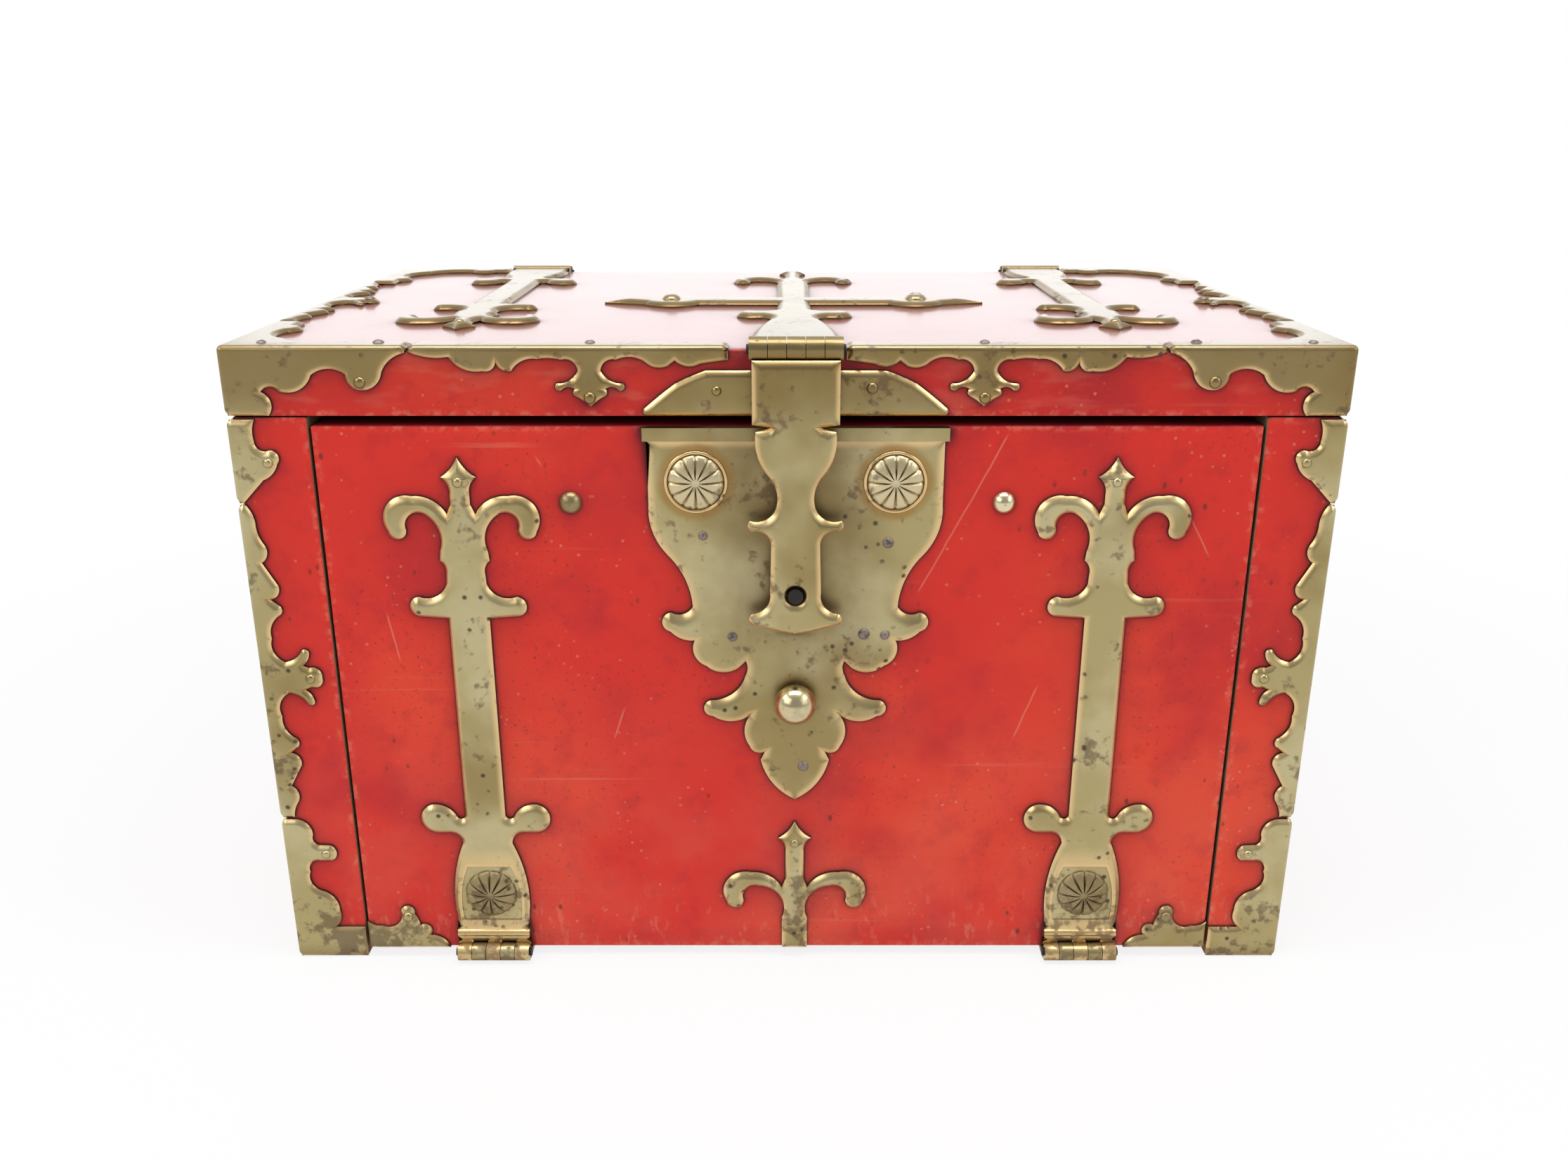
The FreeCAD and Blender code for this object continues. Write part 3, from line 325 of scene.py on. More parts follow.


# darkness, brightness, rubbing and halo give the shares of darker brown (tarnish, and beside the hasp its painted
# shadow), pale cream (partly a painted highlight), golden and ochre metal over the surface
def makeAgedBrass(name, darkness=None, brightness=None, rubbing=None, halo=None, polish=0.0):
    look = brassLook
    brass = Finish(name)
    clouds = brass.noise(*look["clouds"]["noise"])
    rim, high = brass.rim(), brass.axis("Z")
    middle = 1.0 - (brass.axis("X") - look["middle"]).size().between(*look["middleReach"])
    low = 1.0 - high.between(*look["lowDown"])
    uncleaned = 1.0 - look["polishCleans"] * polish
    colour = brass.mix(clouds.between(*look["clouds"]["edge"]), look["khaki"], look["pale"])
    layer = look["olives"]
    share = (brass.noise(*layer["noise"]) + middle * layer["middle"]).between(*layer["edge"]) * layer["share"]
    colour = brass.mix(share, colour, look["olive"])
    # painted shade: brass mixed towards bronze up at the lid, from 212 to 236 mm, less in the middle
    layer = look["shadedHigh"]
    share = high.between(*layer["height"]) * spread(clouds, layer["spread"]) * (1.0 - layer["middle"] * middle)
    colour = brass.mix(share, colour, look["bronze"])
    share = brass.crevice(*look["shade"]["crevice"]) * spread(clouds, look["shade"]["spread"])
    colour = brass.mix(share, colour, look["bronze"])
    layer = look["edges"]
    edge = (rim * spread(brass.noise(*layer["noise"]), layer["spread"])).between(*layer["edge"])
    colour = brass.mix(edge * layer["share"], colour, look["golden"])
    # painted shade: dark brown on the rims at the lid's top, standing for the dark they reflect
    layer = look["lidRimShade"]
    share = high.between(*layer["height"]) * rim.between(*layer["edge"]) * layer["share"]
    colour = brass.mix(share, colour, look["brown"])
    if rubbing:
        colour = brass.mix(rubbing(brass) * spread(clouds, look["rubbed"]["spread"]), colour, look["golden"])
    if halo:
        share = halo(brass) * spread(brass.noise(*look["rings"]["noise"]), look["rings"]["spread"])
        colour = brass.mix(share, colour, look["ochre"])
    bright = 0.0
    # brightness: paler cream, partly a painted highlight on the polished buttons
    if brightness:
        bright = brightness(brass) * (1.0 - rim)
        colour = brass.mix(bright * look["bright"]["share"], colour, look["cream"])
    layer = look["stains"]
    coarse, fine = layer["shares"]
    stain = coarse * brass.noise(*layer["coarse"]) + fine * brass.noise(*layer["fine"]) + low * layer["low"]
    stain = stain.between(*layer["edge"]) * uncleaned
    colour = brass.mix(stain * layer["share"], colour, look["brown"])
    layer = look["pits"]
    pits = (brass.noise(*layer["noise"]) + low * layer["low"]).between(*layer["edge"])
    pits = brass.dots(*layer["dots"]) * pits * uncleaned
    colour = brass.mix(pits * layer["share"], colour, look["tarnish"])
    # patina and painted shade: brown within 3 mm of another surface, the shadows beside the hasp and along the plate
    # edges; less on the cream parts
    share = brass.crevice(*look["grimeAndShade"]["crevice"]) * (look["grimeAndShade"]["share"] - look["bright"]["grimeAndShade"] * bright)
    colour = brass.mix(share, colour, look["brown"])
    dull = (stain * look["dull"]["stains"] + pits * look["dull"]["pits"]).atMost(look["dull"]["most"])
    # darkness: brown on the lower or left buttons, and beside the hasp the hasp's painted shadow with patina
    if darkness:
        layer = look["darkened"]
        dark = (darkness(brass) * spread(brass.noise(*layer["noise"]), layer["spread"])).atMost(layer["most"])
        colour = brass.mix(dark, colour, look["brown"])
        dull = dull.atLeast(dark * layer["dull"])
    rough = look["roughness"]
    roughness = rough["plain"] + clouds * rough["clouds"] + dull * rough["dull"] - edge * rough["edges"]
    brass.set(Base_Color=colour, Metallic=1.0 - dull, Roughness=roughness - polish * rough["polish"])
    layer = look["lacquer"]
    lacquer = high.between(*layer["height"]) * (1.0 - rim.between(*layer["rim"]))
    brass.set(Coat_Weight=lacquer * layer["weight"], Coat_IOR=layer["ior"], Coat_Roughness=layer["roughness"])
    bump = look["bump"]
    height = brass.noise(*look["fine"]) * bump["fine"] + clouds * bump["clouds"] - pits * bump["pits"]
    brass.bump(height, bump["strength"], bump["distance"])
    return brass.material


ironLook = {
    "dark": (0.050, 0.046, 0.044, 1), "rust": (0.13, 0.060, 0.030, 1), "rusty": (70, 5), "pitting": (260, 3),
    "rustFrom": (0.50, 0.70), "rustShare": 0.7, "dullFrom": (0.48, 0.70), "dullShare": 0.6, "roughness": (0.55, 0.2),
    "bump": {"pitting": 0.6, "rust": 0.4, "strength": 0.35, "distance": 0.4 * mm},
}


def makeDarkIron():
    look, bump = ironLook, ironLook["bump"]
    iron = Finish("darkIron")
    rust = iron.noise(*look["rusty"])
    pitting = iron.noise(*look["pitting"])
    iron.set(Base_Color=iron.mix(rust.between(*look["rustFrom"]) * look["rustShare"], look["dark"], look["rust"]))
    iron.set(Metallic=1.0 - rust.between(*look["dullFrom"]) * look["dullShare"])
    iron.set(Roughness=spread(rust, look["roughness"]))
    iron.bump(pitting * bump["pitting"] + rust * bump["rust"], bump["strength"], bump["distance"])
    return iron.material


nailLook = {
    "head": (0.27, 0.22, 0.20, 1), "dark": (0.05, 0.034, 0.028, 1), "wear": (400, 3), "wearFrom": (0.5, 0.72),
    "wearShare": 0.8, "grimeAndShade": (1.5 * mm, 0.3, 0.9), "grimeAndShadeShare": 0.8, "metal": (1.0, -0.4), "roughness": (0.38, 0.2),
    "bumpStrength": 0.3, "bumpDistance": 0.3 * mm,
}


def makeNailHead():
    look = nailLook
    nail = Finish("nailHead")
    wear = nail.noise(*look["wear"])
    colour = nail.mix(wear.between(*look["wearFrom"]) * look["wearShare"], look["head"], look["dark"])
    # grime and painted shade: a dark ring round the head's foot, where it meets the plate
    colour = nail.mix(nail.crevice(*look["grimeAndShade"]) * look["grimeAndShadeShare"], colour, look["dark"])
    nail.set(Base_Color=colour, Metallic=spread(wear, look["metal"]), Roughness=spread(wear, look["roughness"]))
    nail.bump(wear, look["bumpStrength"], look["bumpDistance"])
    return nail.material


# Buttons of brass: darker brown below or on the left, paler cream above or on the right; the cream is partly a painted
# highlight on the polished domes
buttonLook = {
    "rosettes": ("Z", 60 * mm, 90 * mm), "studs": ("X", -10 * mm, 10 * mm), "darkShare": 0.6, "knobBright": 0.4,
    "nailPolish": 0.5,
}


def makeButtonBrass(name, axis, low, high, polish):
    return makeAgedBrass(
        name, darkness=lambda brass: buttonLook["darkShare"] * (1.0 - brass.axis(axis).between(low, high)),
        brightness=lambda brass: brass.axis(axis).between(low, high), polish=polish)


redPaint = makeRedPaint("redPaint", 0.0)
polishedPaint = makeRedPaint("polishedPaint", 1.0)
bareWood = makeBareWood("bareWood", 0)
sideWood = makeBareWood("sideWood", 1)
agedBrass = makeAgedBrass("agedBrass")
rosetteBrass = makeButtonBrass("rosetteBrass", *buttonLook["rosettes"], 0.0)
studBrass = makeButtonBrass("studBrass", *buttonLook["studs"], 1.0)
# the knob mixed towards cream all over, partly a painted highlight
knobBrass = makeAgedBrass("knobBrass", brightness=lambda brass: buttonLook["knobBright"], polish=1.0)
nailBrass = makeAgedBrass("nailBrass", polish=buttonLook["nailPolish"])
darkIron = makeDarkIron()
nailHead = makeNailHead()
print("finishes made")


# Work on one piece at a time
def pick(piece):
    bpy.ops.object.select_all(action="DESELECT")
    piece.select_set(True)
    bpy.context.view_layer.objects.active = piece


def cleanCopy(node, name):  # a copy of a CAD node with its triangles joined up
    piece = bpy.data.objects.new(name, frame["nodes"][node].data.copy())
    bpy.context.scene.collection.objects.link(piece)
    pick(piece)
    bpy.ops.mesh.customdata_custom_splitnormals_clear()
    bpy.ops.object.mode_set(mode="EDIT")
    bpy.ops.mesh.select_all(action="SELECT")
    bpy.ops.mesh.remove_doubles(threshold=weld)
    bpy.ops.object.mode_set(mode="OBJECT")
    return piece


def selectFaces(piece, test):  # in edit mode; returns how many
    mesh = bmesh.from_edit_mesh(piece.data)
    for face in mesh.faces:
        face.select_set(False)
    chosen = [face for face in mesh.faces if test(face)]
    for face in chosen:
        face.select_set(True)
    mesh.select_flush_mode()
    bmesh.update_edit_mesh(piece.data)
    return len(chosen)


def markRim(piece):  # in edit mode: 0 on the selected flats, 1 on all other points
    mesh = bmesh.from_edit_mesh(piece.data)
    rim = mesh.verts.layers.float.new("rim")
    for point in mesh.verts:
        point[rim] = 0.0 if point.select else 1.0
    bmesh.update_edit_mesh(piece.data)


def settle(piece, node, material):
    pick(piece)
    bpy.ops.object.shade_smooth_by_angle(angle=smoothAngle)
    weighted = piece.modifiers.new("weighted", "WEIGHTED_NORMAL")
    weighted.keep_sharp = True
    bpy.ops.object.modifier_apply(modifier=weighted.name)
    if not piece.data.materials or piece.data.materials[0] is not material:
        piece.data.materials.clear()
        piece.data.materials.append(material)
    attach(piece, bodyOf[node])
    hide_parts(node)
    return piece


# Brass castings: the CAD plate with its outer face rounded off towards the rim and over its folds
castings = {
    "edge": {"drop": 1.3 * mm, "width": 2.4 * mm},  # how deep and how wide the rounding is
    "strap": {"drop": 1.7 * mm, "width": 3.0 * mm},
    "shield": {"drop": 1.8 * mm, "width": 4.6 * mm},
    "rings": (0.2, 0.45, 0.72, 1.0),  # shares of the width that get a row of points
    "roundness": 1.8, "spacing": 0.8 * mm, "fold": 2.0 * mm, "foldCuts": (30, 15, 0),
    "mitre": 1.5, "narrow": 0.92, "wallShare": 0.7, "sameLevel": 0.02 * mm, "square": 0.999, "plainEdge": 0.3,
    "grid": 5.0 * mm, "steep": 0.6, "ahead": 1e-7, "shortest": 1e-4, "sharpest": 1e-3, "open": 1.0,
}


def flatLevel(piece, side):  # the height of the largest face that looks that way
    facing = [face for face in piece.data.polygons if face.normal.dot(side) > castings["square"]]
    largest = max(facing, key=lambda face: face.area)
    return side.dot(largest.center)


def findFlats(mesh, levels):  # each face of the outer flats, with the number of its flat
    def onFlat(face, side, level):
        return all(abs(side.dot(point.co) - level) < castings["sameLevel"] for point in face.verts)
    return {face: number for number, flat in enumerate(levels) for face in mesh.faces if onFlat(face, *flat)}


def rimLoops(flats):
    return [(loop, flats[face]) for face in flats for loop in face.loops
            if not any(other in flats for other in loop.edge.link_faces if other is not face)]


def divideRim(mesh, levels):  # short edges all along the outlines
    for edge in {loop.edge for loop, number in rimLoops(findFlats(mesh, levels))}:
        cuts = int(edge.calc_length() / castings["spacing"])
        if cuts:
            bmesh.ops.subdivide_edges(mesh, edges=[edge], cuts=cuts)


def roomAt(point, way, outline):  # radius of the largest circle that touches the outline from inside here
    gaps = outline - numpy.array(point.co)
    inward = gaps @ numpy.array(way)
    ahead = inward > castings["ahead"]
    if not ahead.any():
        return castings["open"]
    return float(((gaps ** 2).sum(axis=1)[ahead] / (2 * inward[ahead])).min())


def castPlate(node, sides, form, metal=agedBrass):
    piece = cleanCopy(node, node + "Cast")
    levels = [(side, flatLevel(piece, side)) for side in sides]
    bpy.ops.object.mode_set(mode="EDIT")
    mesh = bmesh.from_edit_mesh(piece.data)
    rimLayer = mesh.verts.layers.float.new("rim")
    divideRim(mesh, levels)
    flats = findFlats(mesh, levels)
    rims, inwards, walls = [], {}, {}
    for loop, number in rimLoops(flats):
        side, level = levels[number]
        start, end = loop.vert, loop.link_loop_next.vert
        rims.append((start, end, number))
        beyond = [face for face in loop.edge.link_faces if face not in flats]
        wall = level - min((side.dot(corner.co) for face in beyond for corner in face.verts), default=level)
        if beyond and side.dot(beyond[0].calc_center_median()) > level + castings["sameLevel"]:
            wall = 0.0  # a knuckle stands up here, so the flat runs into it
        for point in (start, end):
            inwards.setdefault(point, []).append((side.cross(end.co - start.co).normalized(), number))
            walls[point] = min(walls.get(point, wall), wall)
    outlines = [numpy.array([start.co for start, end, number in rims if number == flat])
                for flat in range(len(levels))]
    for point in mesh.verts:
        point[rimLayer] = 1.0 if point in inwards else castings["plainEdge"]
    places = {}
    for point, entries in inwards.items():
        (first, flatA), (last, flatB) = entries[0], entries[-1]
        way = first + last if flatA == flatB else levels[flatA][0].cross(levels[flatB][0])
        way = (way if way.length > castings["shortest"] else first).normalized()
        way = way if way.dot(first) > 0 else -way
        stretch = min(castings["mitre"], 1 / max(way.dot(first), castings["sharpest"]))
        width = min(form["width"], castings["narrow"] * roomAt(point, way, outlines[flatA]) / stretch)
        outward = sum((levels[flat][0] for flat in {flatA, flatB}), Vector())
        drop = min(form["drop"], castings["wallShare"] * walls[point])
        places[point] = (way * stretch * width, width / form["width"], -outward * drop)
    rings = {}
    for point, (inset, depth, fall) in places.items():
        rings[point] = [point]
        for share in castings["rings"]:
            sunk = fall * (1 - share * depth) ** castings["roundness"]
            added = mesh.verts.new(point.co + inset * share + sunk)
            added[rimLayer] = 1.0 - share
            rings[point].append(added)
    inner = [edge for edge in mesh.edges if edge.link_faces and all(face in flats for face in edge.link_faces)]
    foldEnds = [(*edge.verts, {flats[face] for face in edge.link_faces}) for edge in inner
                if len({flats[face] for face in edge.link_faces}) == 2]
    bmesh.ops.delete(mesh, geom=list(flats), context="FACES_ONLY")
    for edge in inner:
        mesh.edges.remove(edge)
    for point, (inset, depth, fall) in places.items():
        point.co += fall
    hems = [[] for flat in levels]
    for start, end, number in rims:
        for step in range(len(castings["rings"])):
            a, b = rings[start], rings[end]
            mesh.faces.new((a[step], b[step], b[step + 1], a[step + 1]))
        hems[number].append(mesh.edges.get((rings[start][-1], rings[end][-1])))
    for start, end, numbers in foldEnds:
        ends = [rings[point][-1] if point in rings else point for point in (start, end)]
        edge = mesh.edges.get(ends) or mesh.edges.new(ends)
        for number in numbers:
            hems[number].append(edge)
    for number, (side, level) in enumerate(levels):
        filled = bmesh.ops.triangle_fill(mesh, use_beauty=True, edges=hems[number], normal=side)
        middle = [face for face in filled["geom"] if isinstance(face, bmesh.types.BMFace)]
        for face in middle:
            if face.normal.dot(side) < 0:
                face.normal_flip()
        if len(levels) == 1:
            crownMiddle(mesh, middle, side, level, outlines[number], form)
    roundFolds(mesh, levels)
    bmesh.update_edit_mesh(piece.data)
    bpy.ops.mesh.select_all(action="SELECT")
    bpy.ops.mesh.dissolve_degenerate(threshold=weld)
    bpy.ops.object.mode_set(mode="OBJECT")
    settle(piece, node, metal)


# grid points inside the hem, each at its height over the outline
def crownMiddle(mesh, middle, side, level, outline, form):
    hem = {point for face in middle for point in face.verts}
    size = numpy.ptp(outline, axis=0)
    for axis in (right, back, up):
        if axis.dot(side):
            continue
        lowest = float((outline @ numpy.array(axis)).min())
        for step in range(1, int(size @ numpy.array(axis) / castings["grid"]) + 1):
            where = lowest + step * castings["grid"]
            heights = {face: [axis.dot(point.co) for point in face.verts] for face in middle}
            across = [face for face in middle if min(heights[face]) < where < max(heights[face])]
            parts = across + list({edge for face in across for edge in face.edges})
            parts += list({point for face in across for point in face.verts})
            cut = bmesh.ops.bisect_plane(mesh, geom=parts, plane_co=axis * where, plane_no=axis)
            kept = set(middle).difference(across)
            middle = list(kept.union(part for part in cut["geom"] if isinstance(part, bmesh.types.BMFace)))
    within = set(middle)
    for point in {point for face in middle for point in face.verts} - hem:
        if all(face in within for face in point.link_faces):
            reach = float(numpy.sqrt(((outline - numpy.array(point.co)) ** 2)
                                     @ (1 - numpy.abs(numpy.array(side)))).min())
            fall = form["drop"] * max(0.0, 1 - reach / form["width"]) ** castings["roundness"]
            point.co += side * (level - fall - side.dot(point.co))


def crosses(face, side, where):  # lies on both sides of that height
    heights = [side.dot(point.co) for point in face.verts]
    return min(heights) < where - castings["sameLevel"] and max(heights) > where + castings["sameLevel"]


def roundFolds(mesh, levels):  # cut the flats beside a fold, then bring the corner in to an arc
    radius = castings["fold"]
    for side, level in levels if len(levels) > 1 else ():
        for angle in castings["foldCuts"]:
            where = level - radius * (1 - math.tan(math.radians(angle)))
            beside = [face for face in mesh.faces
                      if abs(face.normal.dot(side)) < castings["steep"] and crosses(face, side, where)]
            parts = beside + list({edge for face in beside for edge in face.edges})
            parts += list({point for face in beside for point in face.verts})
            bmesh.ops.bisect_plane(mesh, geom=parts, plane_co=side * where, plane_no=side)
    for point in mesh.verts:
        rises = [max(0.0, radius - level + side.dot(point.co)) for side, level in levels]
        reach = math.hypot(*rises)
        if reach > 0:
            for rise, (side, level) in zip(rises, levels):
                point.co -= side * rise * (1 - max(rises) / reach)


edgeCasts = {"lid_plate": (front,)}
for sideName, side in (("left", left), ("right", right)):
    for endName, end in (("front", front), ("back", back)):
        for mount in ("base_corner", "edge_mount", "stile_mount"):
            edgeCasts[f"{mount}_{endName}_{sideName}"] = (side, end)
    edgeCasts["lid_corner_front_" + sideName] = (side, front, up)
    edgeCasts["lid_corner_back_" + sideName] = (side, up)
    edgeCasts["lid_front_mount_" + sideName] = (front, up)
    edgeCasts["lid_side_mount_" + sideName] = (side, up)
    edgeCasts["panel_corner_" + sideName] = (front,)
strapCasts = {
    "front_strap_left": (front,), "front_strap_right": (front,), "bottom_fleur": (front,),
    "hasp": (front,), "lid_strap_left": (up,), "lid_strap_right": (up,), "hasp_strap": (up,),
    "handle_plate_left": (left,), "handle_plate_right": (right,),
    "lid_hinge_back_leaf_left": (back,), "lid_hinge_back_leaf_right": (back,),
}
for node, sides in edgeCasts.items():
    castPlate(node, sides, castings["edge"])
strapLevel = flatLevel(frame["nodes"]["front_strap_left"], front)
strapLook = {"sunk": (0.3 * mm, 0.6 * mm), "foot": (44 * mm, 52 * mm)}


def rubbedFoot(brass):  # the raised border round a front strap's rosette
    sunk = brass.axis("Y").between(*(depth - strapLevel for depth in strapLook["sunk"]))
    return (1.0 - sunk) * (1.0 - brass.axis("Z").between(*strapLook["foot"]))


strapBrass = makeAgedBrass("strapBrass", rubbing=rubbedFoot)
for node, sides in strapCasts.items():
    castPlate(node, sides, castings["strap"], strapBrass if node.startswith("front_strap") else agedBrass)


shieldLook = {
    "rosettes": ((-33.0, 201.0), (39.0, 201.0)), "ochreReach": (12.5 * mm, 15.5 * mm),
    "darkened": (16 * mm, 42 * mm), "haspShadowHeight": (105 * mm, 150 * mm), "haspShadowShare": 0.42,
}


def haspShadowAndPatina(brass):  # the escutcheon darker beside the hasp: patina and the hasp's painted shadow
    near = 1.0 - (brass.axis("X") - brassLook["middle"]).size().between(*shieldLook["darkened"])
    return near * brass.axis("Z").between(*shieldLook["haspShadowHeight"]) * shieldLook["haspShadowShare"]


def roundRosettes(brass):  # old polish left ochre rings where nothing rubs
    inner, outer = shieldLook["ochreReach"]
    share = 0.0
    for x, z in shieldLook["rosettes"]:
        across, high = brass.axis("X") - x * mm, brass.axis("Z") - z * mm
        share = share + 1.0 - (across * across + high * high).between(inner ** 2, outer ** 2)
    return share


shieldBrass = makeAgedBrass("shieldBrass", darkness=haspShadowAndPatina, halo=roundRosettes)
castPlate("escutcheon", (front,), castings["shield"], shieldBrass)
print("castings made", len(edgeCasts) + len(strapCasts) + 1)

# Rosettes: a domed button with a groove between its petals, the upper ones in a bright ring
rosettes = {
    "radius": 10.2 * mm, "rise": 3.0 * mm, "petals": 12, "segments": 72, "groove": 0.75 * mm, "grooveFrom": 0.24,
    "grooveWidth": 0.01, "dimple": 0.5 * mm, "dimpleTo": 0.14, "rows": 24, "cut": 0.01 * mm, "smooth": 42, "rim": 0.3,
    "ring": 10.9 * mm, "ringRadius": 0.75 * mm, "ringSegments": (64, 12), "ringCut": 0.05 * mm, "recess": 0.8 * mm,
    "upper": shieldLook["rosettes"], "lower": ((-119.0, 30.0), (119.0, 30.0)),
}


def setRim(piece, value):
    rim = piece.data.attributes.new("rim", "FLOAT", "POINT")
    rim.data.foreach_set("value", [value] * len(piece.data.vertices))


def selectPoints(piece, test):  # in edit mode
    mesh = bmesh.from_edit_mesh(piece.data)
    for point in mesh.verts:
        point.select_set(test(point.co))
    mesh.select_flush_mode()
    bmesh.update_edit_mesh(piece.data)


def makeRosette():
    look = rosettes
    radius = look["radius"]
    bpy.ops.object.select_all(action="DESELECT")
    bpy.ops.mesh.primitive_uv_sphere_add(segments=look["segments"], ring_count=look["rows"], radius=radius)
    button = bpy.context.object
    bpy.ops.object.mode_set(mode="EDIT")
    bpy.ops.mesh.select_mode(type="VERT")
    bpy.ops.mesh.select_all(action="SELECT")
    bpy.ops.mesh.bisect(plane_co=(0, 0, look["cut"]), plane_no=(0, 0, 1), clear_inner=True)
    bpy.ops.mesh.select_all(action="SELECT")
    bpy.ops.transform.resize(value=(1, 1, look["rise"] / radius), center_override=(0, 0, 0))
    step = math.tau / look["petals"]

    def inGroove(point):
        off = (math.atan2(point.y, point.x) + step / 2) % step - step / 2
        return abs(off) < look["grooveWidth"] and math.hypot(point.x, point.y) > look["grooveFrom"] * radius

    selectPoints(button, inGroove)
    bpy.ops.transform.translate(value=(0, 0, -look["groove"]))
    selectPoints(button, lambda point: math.hypot(point.x, point.y) < look["dimpleTo"] * radius)
    bpy.ops.transform.translate(value=(0, 0, -look["dimple"]))
    bpy.ops.object.mode_set(mode="OBJECT")
    bpy.ops.object.shade_smooth_by_angle(angle=math.radians(look["smooth"]))
    setRim(button, look["rim"])
    return button


def makeRing():
    look = rosettes
    bpy.ops.object.select_all(action="DESELECT")
    around, across = look["ringSegments"]
    bpy.ops.mesh.primitive_torus_add(major_radius=look["ring"], minor_radius=look["ringRadius"],
                                     major_segments=around, minor_segments=across)
    ring = bpy.context.object
    bpy.ops.object.mode_set(mode="EDIT")
    bpy.ops.mesh.select_all(action="SELECT")
    bpy.ops.mesh.bisect(plane_co=(0, 0, look["ringCut"]), plane_no=(0, 0, 1), clear_inner=True)
    bpy.ops.object.mode_set(mode="OBJECT")
    bpy.ops.object.shade_smooth()
    setRim(ring, 1.0)
    return ring


def putRosettes():
    shieldLevel = flatLevel(frame["nodes"]["escutcheon"], front)
    recessLevel = strapLevel - rosettes["recess"]
    button, ring = makeRosette(), makeRing()
    turn = front.to_track_quat("Z", "Y")
    copies = []
    for places, level, parts in (("upper", shieldLevel, (button, ring)), ("lower", recessLevel, (button,))):
        for across, high in rosettes[places]:
            for part in parts:
                copy = bpy.data.objects.new("rosettePetals", part.data.copy())
                bpy.context.scene.collection.objects.link(copy)
                copy.matrix_world = Matrix.LocRotScale(Vector((across * mm, -level, high * mm)), turn, None)
                copies.append(copy)
    for part in (button, ring):
        bpy.data.objects.remove(part)
    pick(copies[0])
    for copy in copies:
        copy.select_set(True)
    bpy.ops.object.join()
    bpy.ops.object.transform_apply(location=True, rotation=True, scale=True)
    piece = bpy.context.object
    piece.data.materials.append(rosetteBrass)
    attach(piece, bodyOf["rosettes"])
    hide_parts("rosettes")


putRosettes()
print("rosettes made")

# Nails: places are (across, up) on the front, back and sides, (across, along) on the top, in mm
nails = {
    "radius": 2.1 * mm, "segments": 12, "rows": 8, "cut": 0.3, "flatten": 0.72, "hammered": 0.86,
    "tilt": (0.14, 0.06, 1), "smooth": 50, "sizes": (0.90, 1.06, 0.96, 1.12), "twist": 2.4,
    "escutcheon": ((-30.8, 180.8), (36.9, 178.1), (-20.5, 141.2), (28.7, 142.3), (36.5, 141.8), (6.2, 87.3)),
    "lid_plate": ((-25.0, 234.0), (30.0, 235.0)),
    "edges": {"base_corner": (14.5, 47.8), "edge_mount": (17.0, 123.7), "stile_mount": (11.5, 207.8)},  # in, up
    "lidCorner": (47.4, 237.0), "lidTop": (12.0, 53.4), "topIn": 5.0, "lidFront": (69.8, 231.5),
    "lidSide": (16.0, 232.0), "panelCorner": (17.0, 15.0), "spear": (119.0, 200.8), "lidSpear": (127.0, -69.5),
    "haspArms": ((-50.0, -2.9), (56.0, -2.9)), "bossSize": 2.2, "fleur": (3.0, 53.0),
    "handlePlate": ((0.0, 143.0), (0.0, 157.0)), "backLeaf": (127.0, (233.0, 219.0, 205.0, 192.0)),
}


def makeNail():  # one hammered head that stands on z = 0
    radius = nails["radius"]
    bpy.ops.object.select_all(action="DESELECT")
    bpy.ops.mesh.primitive_uv_sphere_add(segments=nails["segments"], ring_count=nails["rows"], radius=radius)
    nail = bpy.context.object
    bpy.ops.object.mode_set(mode="EDIT")
    bpy.ops.mesh.select_all(action="SELECT")
    low = (0, 0, nails["cut"] * radius)
    bpy.ops.mesh.bisect(plane_co=low, plane_no=(0, 0, 1), clear_inner=True, use_fill=True)
    bpy.ops.mesh.select_all(action="SELECT")
    top = (0, 0, nails["hammered"] * radius)
    bpy.ops.mesh.bisect(plane_co=top, plane_no=nails["tilt"], clear_outer=True, use_fill=True)
    bpy.ops.mesh.select_all(action="SELECT")
    bpy.ops.transform.translate(value=(0, 0, -low[2]))
    bpy.ops.transform.resize(value=(1, 1, nails["flatten"]), center_override=(0, 0, 0))
    bpy.ops.object.mode_set(mode="OBJECT")
    bpy.ops.object.shade_smooth_by_angle(angle=math.radians(nails["smooth"]))
    return nail


def nailOn(node, side, across, along, finish="brass", size=1.0):
    if side is up:
        place = Vector((across, along, 0)) * mm
    elif side in (front, back):
        place = Vector((across, 0, along)) * mm
    else:
        place = Vector((0, across, along)) * mm
    place += side * flatLevel(frame["nodes"][node], side)
    nailSpots.setdefault((bodyOf[node], finish), []).append((place, side, size))


